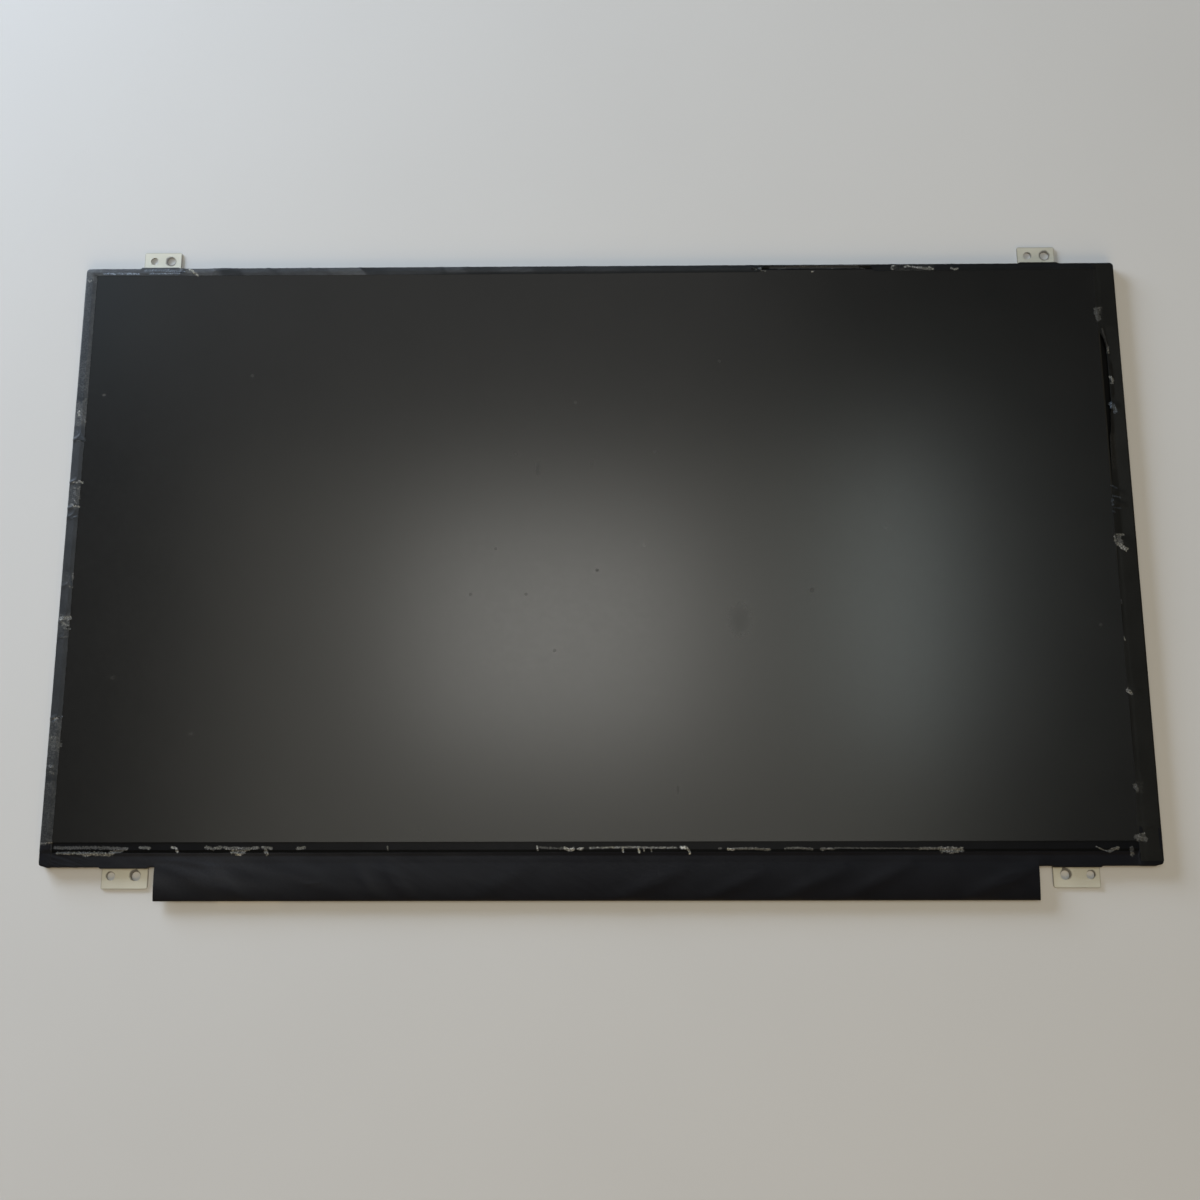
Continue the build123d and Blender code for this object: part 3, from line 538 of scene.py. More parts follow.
def makeTabFinish():
    spec = tabFinish
    material, tree, sockets = startMaterial("platedTab")
    grain = placeGroup(tree, fineGrain, {"Scale": 1500})
    # dark places round the holes: wear together with painted shade of the hole walls
    wornAndShadedRings = None
    for (x, y), size in spec["wornAndShadedPlaces"]:
        values = {"Centre": (x * mm, y * mm, 0), "Size": (size * mm, size * mm, 1.0), "Ragged": 0.35}
        mask = placeGroup(tree, softSpot, values)["Mask"]
        wornAndShadedRings = mask if wornAndShadedRings is None else mathNode(tree, "MAXIMUM", wornAndShadedRings, mask)
    body = mixColour(tree, remap(tree, grain["Cloud"], 0.35, 0.65), colour(spec["dull"]), colour(spec["pale"]))
    axes = placeAxes(tree)
    sides = mathNode(tree, "ABSOLUTE", axes["X"])
    inside = None  # how far inside its own tab's outline a point is, below zero
    for (x, y), (halfX, halfY) in spec["tabs"]:
        across = mathNode(tree, "SUBTRACT", awayNode(tree, sides, x), halfX * mm)
        along = mathNode(tree, "SUBTRACT", awayNode(tree, axes["Y"], y), halfY * mm)
        depth = mathNode(tree, "MAXIMUM", across, along)
        inside = depth if inside is None else mathNode(tree, "MINIMUM", inside, depth)
    # painted shade line along the outline of each tab
    rim = remap(tree, inside, -spec["rimBreadth"] * mm, -0.1 * mm)
    rimmed = mixColour(tree, rim, body, colour(spec["rim"]))
    plated = mixColour(tree, remap(tree, wornAndShadedRings, 0.0, 0.3), rimmed, colour(spec["worn"]))
    # side walls between these levels take the darker tone: bare cut steel and painted shade
    low, high = spec["edgeBand"]
    above = mathNode(tree, "GREATER_THAN", axes["Z"], low * mm)
    edges = mathNode(tree, "MULTIPLY", above, mathNode(tree, "LESS_THAN", axes["Z"], high * mm))
    feed(tree, sockets["Base Color"], mixColour(tree, edges, plated, colour(spec["shadedCutEdge"])))
    feed(tree, sockets["Roughness"], spread(tree, grain["Grain"], *spec["roughness"]))
    sockets["Metallic"].default_value = 0.35
    addBump(tree, sockets, grain["Grain"], 0.01, 0.5)
    return material


# which finish each CAD node takes
nodeFinishes = {
    "darkGlass": ["filter_glass"],
    "shadedLedgeGlass": ["array_glass"],
    "blackFilm": ["rim_tape"],
    "blackMoulding": ["mid_frame"],
    "rolledCover": ["rear_cover"],
    "whiteFilm": ["reflector_sheet", "lower_diffuser", "upper_diffuser"],
    "clearSheet": ["light_guide_plate"],
    "prismSheet": ["lower_prism_sheet", "upper_prism_sheet"],
    "polarizerFilm": ["rear_polarizer"],
    "flexStrip": ["led_strip"],
    "amberFilm": ["driver_film_1", "driver_film_2", "driver_film_3", "driver_film_4"],
    "greenBoard": ["source_board"],
    "chipPackage": ["memory_chip", "timing_controller", "power_chip", "led_driver_chip"],
    "ferriteCore": ["inductor"],
    "ivoryHousing": ["led_connector", "video_socket_housing"],
    "tinShell": ["video_socket_shell"],
    "goldPlating": ["video_socket_contacts"],
    "bareSilicon": ["driver_chip_1", "driver_chip_2", "driver_chip_3", "driver_chip_4"],
    "ceramicPart": ["board_capacitors"],
    "resistorPart": ["board_resistors"],
    "ledPackage": ["leds"],
}
bracketNodes = ["bracket_top_left", "bracket_top_right", "bracket_bottom_left", "bracket_bottom_right"]


def finishNode(name, material):
    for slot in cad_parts[name].material_slots:
        slot.material = material


def finishNodes():
    for finish, names in nodeFinishes.items():
        material = makePlainFinish(finish)
        for name in names:
            finishNode(name, material)
    finishNode("front_polarizer", makeScreenFinish())
    tabs = makeTabFinish()
    for name in bracketNodes:
        finishNode(name, tabs)


# tapes: grids laid over the body's front, bent round its edge and on to the back
tapeCut = {
    "thickness": 0.05,
    "crown": 0.3,
    "edgeRound": 0.22,
    "cornerRadius": 1.12,
    "rearWidth": 4.92,
    "frontSteps": 14,
    "rightWall": 4.5,
    "legReach": 0.42,
    "legFront": 0.42,  # above the tab's back
    "slitTop": 0.3,  # above the tab's front
    "slitMargin": 0.3,
    "proud": 0.005,  # the most that a wrinkle stands above the screen
    "slopeStart": 4.17,  # below the glass
    "boardGap": 0.06,
    "smoothAngle": 50,
}
edgeFoot = boxMm("left_edge_tape")[0].z + 0.08
lowerEdge = -98.6  # upper edge of the lower tape
rightWallEdge = halfWidth - tapeCut["rightWall"]


def restLevel(x, y):  # height in mm of what a tape lies on
    if y > screenLow.y:
        side = np.interp(x, (-halfWidth, screenLow.x, screenHigh.x, rightWallEdge),
                         (frameFront, screenHigh.z, screenHigh.z, frameFront))
        end = np.interp(y, (screenHigh.y, halfHeight), (screenHigh.z, frameFront))
    else:
        side = np.interp(x, (-halfWidth, glassLow.x, glassHigh.x, rightWallEdge),
                         (frameFront, glassHigh.z, glassHigh.z, frameFront))
        end = np.interp(y, (lowerEdge, glassLow.y), (filmFront, glassHigh.z))
    return float(min(side, end))


def flapLevel(y):  # height of the sheet over the board, crowned and falling to its lower edge
    slopeTop = glassLow.y - tapeCut["slopeStart"]
    share = min(max((slopeTop - y) / (slopeTop - boardLow.y), 0.0), 1.0)
    crown = tapeCut["crown"] * (1 - (2 * share - 1) ** 2)
    fall = filmFront - boardHigh.z - tapeCut["boardGap"]
    return filmFront - fall * share ** 2.2 + crown


def cornerPull(along, half):  # how far a rounded corner draws the edge in
    radius = tapeCut["cornerRadius"]
    past = min(max(abs(along) - (half - radius), 0.0), radius)
    return radius - math.sqrt(radius * radius - past * past)


def legSpans(side):  # left and right end of each bracket leg on that side
    spans = []
    for name in bracketNodes:
        low, high = boxMm(name)
        if low.y * side > 0 or high.y * side > 0:
            spans.append((low.x, high.x))
    return spans


def legBump(x, spans):
    return max(within(low, high, 0.5, x) for low, high in spans) * tapeCut["legReach"]


def slitCut(bracket, spans, side):  # where a bracket's leg comes out through the tape
    top = boxMm(bracket)[0].z + tapeCut["legFront"] + tapeCut["slitTop"]
    margin = tapeCut["slitMargin"]

    def inSlit(middle):
        beside = any(low - margin < middle.x < high + margin for low, high in spans)
        return beside and middle.y * side > halfHeight - 0.05 and middle.z < top

    return inSlit


def tapeSection(inner, outer, level, foot, rear, steps=tapeCut["frontSteps"]):
    # (u, z) points: along the front, round the edge, down the side and under
    hand = 1 if outer > inner else -1
    radius = tapeCut["edgeRound"]
    turn = outer - hand * radius
    top = level(outer)
    points = []
    for step in range(steps + 1):
        u = inner + (turn - inner) * step / steps
        points.append((u, level(u)))
    for angle in (30, 60):
        bend = math.radians(angle)
        points.append((turn + hand * radius * math.sin(bend), top - radius * (1 - math.cos(bend))))
    for share in (0, 0.33, 0.67, 1):
        points.append((outer, top - radius + (foot - top + 2 * radius) * share))
    for angle in (30, 60):
        bend = math.radians(angle)
        points.append((turn + hand * radius * math.cos(bend), foot + radius * (1 - math.sin(bend))))
    for share in (0, 0.33, 0.67, 1):
        points.append((turn + (rear - turn) * share, foot))
    return points, hand


def sectionNormals(points, hand):
    normals = []
    for index in range(len(points)):
        before = points[max(index - 1, 0)]
        after = points[min(index + 1, len(points) - 1)]
        run = Vector((after[0] - before[0], after[1] - before[1])).normalized()
        normals.append((-hand * run.y, hand * run.x))
    return normals


def gridSheet(name, alongCount, acrossCount):
    bpy.ops.object.select_all(action="DESELECT")
    bpy.ops.mesh.primitive_grid_add(x_subdivisions=alongCount, y_subdivisions=acrossCount, size=2)
    sheet = bpy.context.object
    sheet.name = name
    sheet.data.name = name
    return sheet


def choose(piece):  # selected alone, and active
    bpy.ops.object.select_all(action="DESELECT")
    piece.select_set(True)
    bpy.context.view_layer.objects.active = piece


def layTape(name, run, pitch, shapes, upright=False, frontSteps=tapeCut["frontSteps"]):
    sectionAt, liftAt, wearAt, paleToneAt = shapes
    count = round((run[1] - run[0]) / pitch)
    alongs = [run[0] + (run[1] - run[0]) * index / count for index in range(count + 1)]
    sections = []
    for along in alongs:
        points, hand = sectionAt(along)
        sections.append((points, sectionNormals(points, hand)))
    acrossCount = len(sections[0][0]) - 1
    sheet = gridSheet(name, count, acrossCount)
    wear, paleTone = [], []
    for vertex in sheet.data.vertices:
        column = round((vertex.co.x + 1) / 2 * count)
        row = round((vertex.co.y + 1) / 2 * acrossCount)
        along = alongs[column]
        u, z = sections[column][0][row]
        normalU, normalZ = sections[column][1][row]
        share = min(row / frontSteps, 1.0)
        onFront = 1 - smooth(frontSteps + 2, frontSteps + 6, row)
        lift = liftAt(along, u, share) * onFront
        across, height = u + normalU * lift, z + normalZ * lift
        place = Vector((across, along, height)) if upright else Vector((along, across, height))
        place.x = min(max(place.x, -halfWidth), halfWidth)
        place.y = max(place.y, boardLow.y)
        place.z = min(place.z, screenHigh.z + tapeCut["proud"])
        vertex.co = place * mm
        wear.append(wearAt(along, u, share) * onFront)
        # how pale the tape is: a dust haze together with painted sheen and shade
        paleTone.append(paleToneAt(along, u, share) * onFront)
    for attribute, amounts in (("wear", wear), ("paleTone", paleTone)):
        values = sheet.data.attributes.new(attribute, "FLOAT", "POINT")
        values.data.foreach_set("value", amounts)
    sheet.data.update()
    if sheet.data.polygons[0].normal.z < 0:
        bpy.ops.object.mode_set(mode="EDIT")
        bpy.ops.mesh.select_all(action="SELECT")
        bpy.ops.mesh.flip_normals()
        bpy.ops.object.mode_set(mode="OBJECT")
    return sheet


def cutAway(sheet, inside):  # deletes the faces whose middle, in mm, is inside
    bpy.ops.object.mode_set(mode="EDIT")
    bpy.ops.mesh.select_mode(type="FACE")
    bpy.ops.mesh.select_all(action="DESELECT")
    bpy.ops.object.mode_set(mode="OBJECT")
    for face in sheet.data.polygons:
        face.select = inside(face.center / mm)
    bpy.ops.object.mode_set(mode="EDIT")
    bpy.ops.mesh.delete(type="FACE")
    bpy.ops.object.mode_set(mode="OBJECT")


def thicken(sheet, thickness):
    choose(sheet)
    bpy.ops.object.modifier_add(type="SOLIDIFY")
    solidify = sheet.modifiers[-1]
    solidify.thickness = thickness * mm
    solidify.offset = 1.0
    bpy.ops.object.modifier_apply(modifier=solidify.name)
    bpy.ops.object.shade_smooth_by_angle(angle=math.radians(tapeCut["smoothAngle"]))


def joinPieces(pieces):
    bpy.ops.object.select_all(action="DESELECT")
    for piece in pieces:
        piece.select_set(True)
    bpy.context.view_layer.objects.active = pieces[0]
    bpy.ops.object.join()
    return pieces[0]


def settle(piece, material, slotName, *nodes):
    piece.data.materials.clear()
    piece.data.materials.append(material)
    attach(piece, "root")
    if nodes:
        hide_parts(*nodes)


def zoneWear(zones, place, fade=0.6):
    return max(strength * within(low, high, fade, place) for low, high, strength in zones)


def foldLift(folds, place, slant):  # ridges across a tape
    total = 0.0
    for middle, height, breadth in folds:
        total += height * math.exp(-(((place + slant - middle) / breadth) ** 2))
    return total


# left edge tape
leftTape = {
    "run": (-101.6, 102.2),
    "pitch": 0.4,
    "overlap": 1.2,
    "ragged": 0.14,
    # middle, height and breadth of each fold, along the edge
    "folds": [(40.6, 0.22, 0.7), (25.4, 0.26, 0.5), (16.3, 0.24, 0.5), (13.2, 0.2, 0.7), (-10.6, 0.14, 0.5),
              (-22.6, 0.18, 0.9), (-28.2, 0.12, 0.4), (-54.8, 0.26, 0.5), (-71.5, 0.12, 0.8)],
    # paleness of the tape: a dust haze together with painted sheen of the window's light
    "paleTone": 0.145,
    "dullOuter": (54, 98),  # here the outer half is less pale
    "dullLower": (-74, -62),  # duller below these
    # low end, high end and strength of each worn stretch
    "worn": [(97.6, 100.2, 0.26), (70, 97, 0.11), (56, 69, 0.17), (45, 53.5, 0.26), (16, 24, 0.16), (-11, -7, 0.1),
             (-24.6, -21, 0.2), (-28, -25, 0.1), (-68, -55, 0.2), (-74, -69, 0.12), (-95, -76, 0.15)],
}


def makeLeftTape(material):
    spec = leftTape
    rear = -halfWidth + tapeCut["rearWidth"]

    def section(y):
        inner = screenLow.x + spec["overlap"] + spec["ragged"] * wobble(y / 1.6, 0, 3) + 0.1 * wobble(y / 0.5, 0, 5)
        outer = -halfWidth + cornerPull(y, halfHeight)

        def level(x):
            return restLevel(x, y)

        return tapeSection(inner, outer, level, edgeFoot, rear)

    def lift(y, x, share):
        slant = 1.2 * (share - 0.5)
        broad = 0.03 + 0.04 * wobble(y / 11, share, 1)
        rough = 0.10 * zoneWear(spec["worn"], y) * crease(y / 1.1, share * 3, 2)
        return max(broad + rough + foldLift(spec["folds"], y, slant) * (1 - 0.4 * share), 0.0)

    def wear(y, x, share):
        patch = 0.75 + 0.5 * wobble(y / 2.3, share * 2, 7)
        return zoneWear(spec["worn"], y + 0.8 * wobble(y, share * 3, 8)) * patch

    def paleTone(y, x, share):
        # paleness: dust haze with painted sheen of the window's light, less on the outer half high up and less low down
        outer = smooth(0.25, 0.45, share) * within(*spec["dullOuter"], 2, y)
        lower = 1 - smooth(*spec["dullLower"], y)
        return spec["paleTone"] * (1 - 0.85 * outer) * (1 - 0.35 * lower) * (1 + 0.3 * wobble(y / 5, share, 9))

    tape = layTape("leftEdgeTape", spec["run"], spec["pitch"], (section, lift, wear, paleTone), upright=True)
    thicken(tape, tapeCut["thickness"])
    settle(tape, material, "edge_tape", "left_edge_tape")
    return tape


# right edge tape, torn along the slot beside the cell
rightTape = {
    "run": (-101.6, 102.2),
    "pitch": 0.4,
    "ragged": 0.12,
    # inner edge along the side: y, then x
    "edgeY": (-101, -88.8, -81, -76, -63, -56, -49, -44.5, -33, -29, -18, -12, -6.7, -1.4, 1, 5, 12, 18, 24, 31, 39.5,
              41, 51, 53.7, 61.7, 65.3, 70.4, 74, 77.7, 86, 102),
    "edgeX": (172.2, 171.8, 172.4, 172.5, 172.7, 172.8, 172.6, 172.4, 172.3, 172.6, 172.8, 172.4, 172.7, 173.0, 172.9,
              172.4, 172.6, 172.9, 173.1, 173.3, 173.5, 174.0, 174.8, 175.5, 175.8, 175.4, 174.9, 174.2, 172.6, 172.3,
              172.3),
    "slot": (5, 77),  # here the tape is torn off the cell and lies on the frame
    "sag": 0.05,  # beside the screen's edge
    "folds": [(50.5, 0.2, 1.2), (20, 0.15, 1.0), (16, 0.18, 0.8), (4, 0.15, 1.2), (-47, 0.12, 0.8), (-90.5, 0.15, 0.6)],
    "paleTone": 0.022,
    "worn": [(28, 40, 0.06), (-80, -77, 0.08)],
    "dustyPatch": {"y": (80.8, 86.0), "x": 175.0, "strength": 0.32},
}


def makeRightTape(material):
    spec = rightTape
    rear = halfWidth - tapeCut["rearWidth"]

    def section(y):
        inner = np.interp(y, spec["edgeY"], spec["edgeX"]) + spec["ragged"] * wobble(y / 1.3, 0, 13)
        outer = halfWidth - cornerPull(y, halfHeight)
        torn = within(*spec["slot"], 3, y)

        def level(x):
            sag = spec["sag"] * math.exp(-(((x - glassHigh.x - 0.3) / 0.45) ** 2))
            span = np.interp(x, (screenHigh.x, halfWidth), (screenHigh.z, frameFront)) - sag
            return torn * restLevel(x, y) + (1 - torn) * max(span, restLevel(x, y) - sag)

        return tapeSection(inner, outer, level, edgeFoot, rear)

    def lift(y, x, share):
        broad = 0.03 + 0.04 * wobble(y / 13, share, 11)
        curl = 0.25 * within(32, 76, 4, y) * (1 - smooth(0, 0.25, share)) * (0.6 + wobble(y / 3, 0, 12))
        folds = foldLift(spec["folds"], y, 1.5 * (share - 0.3)) * (1 - smooth(0.3, 0.8, share))
        return max(broad + curl + folds, 0.0)

    def wear(y, x, share):
        inward = 1 - smooth(0.2, 0.5, share)
        patch = spec["dustyPatch"]
        dusty = within(*patch["y"], 0.35, y) * (1 - smooth(patch["x"] - 1.2, patch["x"], x + 0.25 * (86 - y)))
        strength = max(zoneWear(spec["worn"], y) * inward, patch["strength"] * dusty)
        return strength * (0.8 + 0.5 * wobble(y / 1.5, x, 17))

    def paleTone(y, x, share):
        return spec["paleTone"] * (1 + 0.5 * wobble(y / 9, share, 18))

    tape = layTape("rightEdgeTape", spec["run"], spec["pitch"], (section, lift, wear, paleTone), upright=True)
    thicken(tape, tapeCut["thickness"])
    settle(tape, material, "edge_tape", "right_edge_tape")
    return tape


# upper edge tape, torn away between two places
topTape = {
    "run": (-179.45, 179.45),
    "pitch": 0.45,
    "edgeX": (-179, -129, -88, 0, 50, 100, 150, 179),
    "edgeY": (99.95, 99.8, 99.7, 99.7, 99.85, 100.0, 100.1, 100.1),
    "ragged": 0.12,
    "torn": (58, 95),
    "tornEdge": 102.0,
    "overlay": 0.07,  # it lies on the ends of the side tapes
    "folds": [(-172.5, 0.1, 1.0), (-145.2, 0.25, 0.7), (-134, 0.15, 0.8), (-130, 0.25, 2.8), (-126, 0.15, 0.6),
              (-115, 0.2, 0.6), (-100.5, 0.15, 0.8), (-82.5, 0.22, 0.6), (-54, 0.16, 0.7), (-45, 0.16, 0.9),
              (-28, 0.12, 1.5), (6, 0.12, 1.0), (54, 0.15, 1.2), (104, 0.15, 1.0), (124.5, 0.12, 0.8)],
    "worn": [(-179, -174, 0.14), (-145, -134, 0.1), (66, 95, 0.14), (103, 117, 0.12)],
    # paleness along the tape by x: painted sheen of the window's light on the folds, with a dust haze, strongest at the
    # left end
    "paleToneX": (-178.6, -173.6, -144.7, -140.5, -134.1, -132.4, -125.7, -124.3, -115.1, -113.7, -111.9, -95.0, -93.3,
              -82.7, -81.7, -75.0, -72.9, -55.3, -53.9, -52.2, -47.6, -46.2, -35.7, -33.6, -23.8, -21.3, -6.9, -4.1,
              5.7, 7.8, 21.8, 51.5, 58.4, 98.5, 175.0),
    "paleTone": (0.22, 0.2, 0.2, 0.24, 0.22, 0.06, 0.06, 0.17, 0.17, 0.1, 0.19, 0.19, 0.28, 0.32, 0.08, 0.09, 0.13, 0.16,
             0.08, 0.24, 0.24, 0.13, 0.13, 0.2, 0.2, 0.11, 0.1, 0.14, 0.13, 0.1, 0.09, 0.07, 0.04, 0.02, 0.01),
}


def makeTopTape(material):
    spec = topTape
    rear = halfHeight - tapeCut["rearWidth"]
    spans = legSpans(1)

    def section(x):
        torn = within(*spec["torn"], 1.5, x)
        inner = np.interp(x, spec["edgeX"], spec["edgeY"]) + spec["ragged"] * wobble(x / 2.1, 0, 23)
        inner += torn * (spec["tornEdge"] - inner + 0.35 * wobble(x / 1.1, 0, 24))
        outer = halfHeight - cornerPull(x, halfWidth) + legBump(x, spans)

        def level(y):
            return restLevel(x, min(y, halfHeight))

        return tapeSection(inner, outer, level, edgeFoot, rear)

    def lift(x, y, share):
        broad = spec["overlay"] + 0.05 * wobble(x / 9, share, 21)
        crumple = 0.05 * crease(x / 2.6, share * 1.5, 22)
        return max(broad + crumple + foldLift(spec["folds"], x, 1.6 * (share - 0.5)) * (1 - 0.5 * share), 0.0)

    def wear(x, y, share):
        return zoneWear(spec["worn"], x) * (0.7 + 0.6 * wobble(x / 1.4, share * 3, 27))

    def paleTone(x, y, share):
        # painted shadow: from x -80 on the paleness drops along the inner edge, a dark line where the edge lifts
        inner = (1 - smooth(0.2, 0.4, share)) * smooth(-80, -40, x)
        slant = x + 2.5 * (share - 0.5) + 1.2 * wobble(x / 5, share * 2, 28)
        strength = np.interp(slant, spec["paleToneX"], spec["paleTone"]) * (1 - 0.9 * inner)
        return strength * (1 + 0.35 * wobble(x / 3, share * 3, 29))

    tape = layTape("topEdgeTape", spec["run"], spec["pitch"], (section, lift, wear, paleTone))
    cutAway(tape, slitCut("bracket_top_left", spans, 1))
    thicken(tape, tapeCut["thickness"])
    settle(tape, material, "edge_tape", "top_edge_tape")
    return tape


# lower tape: a wing with an ear at each corner, and the sheet over the board
lowerTape = {
    "wingPitch": 0.3,
    "sheetPitch": 0.5,
    "sheet": (-142.3, 139.95),
    "sheetSteps": 40,
    "foldGain": 1.4,
    "earWidth": 3.62,
    "leftEar": -95.3,
    "rightEar": -90.6,
    "rightEarStart": 172.3,
    "overlay": 0.10,  # the ears lie on the side tapes
    "fold": 1.12,  # on the back of the board
    "lip": 0.24,
    "lipBreadth": 1.1,
    "loose": 0.45,  # the wings stand off the wall
    # paleness along the tape by x: painted light of the window, paler to the left
    "paleToneX": (-179, -135, -120, -100, -40, 0, 60, 139, 179),
    "paleTone": (0.03, 0.075, 0.08, 0.05, 0.025, 0.0, 0.0, 0.01, 0.01),
    "ragged": 0.10,
    # two ends, height and half breadth of each fold over the board
    "folds": [((-137, -103), (-118, -112), 0.20, 2.2), ((-124, -104.5), (-113, -113), 0.22, 2.0),
              ((-140, -100.8), (-121, -103), 0.10, 0.9), ((-100, -102), (-82, -112), 0.12, 3.0),
              ((-68, -103), (-60, -113), 0.22, 2.2), ((-77, -104), (-71, -113), 0.18, 2.0),
              ((-40, -113), (-22, -103), 0.14, 3.0), ((6, -113), (27, -104), 0.20, 2.6),
              ((34, -113), (52, -105), 0.16, 2.2), ((58, -113), (78, -104), 0.18, 2.4),
              ((80, -112), (99, -102.5), 0.20, 2.4), ((118, -112), (140, -103), 0.22, 2.4),
              ((-94.7, -108.7), (-88.4, -107.8), 0.06, 0.35)],
    "socketNotch": 10.6,
}


def awayFrom(x, y, start, end):  # distance to a line between two places, and how far along it
    runX, runY = end[0] - start[0], end[1] - start[1]
    share = ((x - start[0]) * runX + (y - start[1]) * runY) / (runX * runX + runY * runY)
    share = min(max(share, 0.0), 1.0)
    return math.hypot(x - start[0] - runX * share, y - start[1] - runY * share), share


def lowerWrinkle(x, y):  # slanting folds over the board, soft waves between them
    total = 0.02 + 0.05 * (1 + wobble(x / 19, y / 8, 33)) + 0.03 * crease(x / 7 + y / 5, y / 9, 32)
    for start, end, height, breadth in lowerTape["folds"]:
        if min(start[0], end[0]) - 9 < x < max(start[0], end[0]) + 9:
            away, share = awayFrom(x, y, start, end)
            ridge = lowerTape["foldGain"] * height * math.exp(-((away / breadth) ** 2))
            total += ridge * (0.5 + 0.5 * math.sin(math.pi * share))
    free = smooth(lowerEdge, lowerEdge - 2.5, y) * (1 - 0.5 * smooth(-112.5, -113.7, y))
    return total * free


def lowerInner(x):  # upper edge of the lower tape
    spec = lowerTape
    left = 1 - smooth(-halfWidth + spec["earWidth"] - 0.15, -halfWidth + spec["earWidth"] + 0.35, x)
    right = smooth(spec["rightEarStart"] - 0.3, spec["rightEarStart"] + 0.2, x)
    edge = lowerEdge + spec["ragged"] * wobble(x / 4, 0, 35)
    edge += left * (spec["leftEar"] - lowerEdge)
    return edge + right * (spec["rightEar"] - lowerEdge - 0.13 * max(x - spec["rightEarStart"], 0))


def lowerLip(x, y):  # the upper edge stands up against the glass
    spec = lowerTape
    ears = within(-halfWidth + spec["earWidth"] + 1.5, spec["rightEarStart"] - 1.5, 0.8, x)
    return spec["lip"] * ears * (1 - smooth(0.1, spec["lipBreadth"], lowerEdge - y))


def makeLowerTape(material):
    spec = lowerTape
    spans = legSpans(-1)
    wingRear = -halfHeight + tapeCut["rearWidth"]

    def wingSection(x):
        outer = -halfHeight + cornerPull(x, halfWidth) - legBump(x, spans)
        outer -= spec["loose"] * (1 - smooth(halfWidth - 3, halfWidth - 1, abs(x)))

        def level(y):
            return restLevel(x, max(y, -halfHeight)) + lowerLip(x, y)

        return tapeSection(lowerInner(x), outer, level, edgeFoot, wingRear)

    def sheetSection(x):
        def level(y):
            return flapLevel(y) + lowerLip(x, y)

        rear = boardLow.y + spec["fold"]
        return tapeSection(lowerInner(x), boardLow.y, level, boardLow.z, rear, spec["sheetSteps"])

    def wingLift(x, y, share):
        onLeftEar = 1 - smooth(-halfWidth + 3.4, -halfWidth + 4.4, x)
        onEar = max(onLeftEar, smooth(spec["rightEarStart"] - 0.6, spec["rightEarStart"], x))
        streaks = crease(x / 5 + y / 2.5, y / 1.2 + x / 4, 36) * smooth(-97, -100, y)
        crumple = streaks * 0.12 * (1 - smooth(-167, -160, x))
        return spec["overlay"] * onEar + lowerWrinkle(x, y) * 0.6 + crumple

    def sheetLift(x, y, share):
        return lowerWrinkle(x, y)

    def wingWear(x, y, share):
        earLine = within(-95.7, -95.2, 0.15, y) * (1 - smooth(-halfWidth + 3.2, -halfWidth + 3.6, x))
        return 0.8 * earLine

    def sheetWear(x, y, share):
        return 0.0

    def paleTone(x, y, share):
        # painted light and shade: paler to the left where the window's light falls, darker towards the board's lower
        # edge in place of the board tilting down
        upper = 0.35 + 0.65 * smooth(-113.5, -107, y)
        return np.interp(x, spec["paleToneX"], spec["paleTone"]) * upper * (1 + 0.5 * wobble(x / 8 + y / 4, y / 4, 37))

    left, right = spec["sheet"]
    wingEnd = topTape["run"][1]
    wingShapes = (wingSection, wingLift, wingWear, paleTone)
    wings = [
        layTape("lowerTapeLeft", (-wingEnd, left), spec["wingPitch"], wingShapes),
        layTape("lowerTapeRight", (right, wingEnd), spec["wingPitch"], wingShapes),
    ]
    for wing in wings:
        choose(wing)
        cutAway(wing, slitCut("bracket_bottom_left", spans, -1))
    sheetShapes = (sheetSection, sheetLift, sheetWear, paleTone)
    sheet = layTape("boardCoverTape", spec["sheet"], spec["sheetPitch"], sheetShapes, frontSteps=spec["sheetSteps"])
    socketLow, socketHigh = boxMm("video_socket_shell")
    middleX = (socketLow.x + socketHigh.x) / 2

    def atSocket(middle):
        return abs(middle.x - middleX) < spec["socketNotch"] and middle.z < boardLow.z + 0.02 and middle.y > boardLow.y

    cutAway(sheet, atSocket)
    tape = joinPieces([sheet, *wings])
    tape.name = "boardCoverTape"
    thicken(tape, tapeCut["thickness"])
    settle(tape, material, "edge_tape", "board_cover_tape")
    return tape
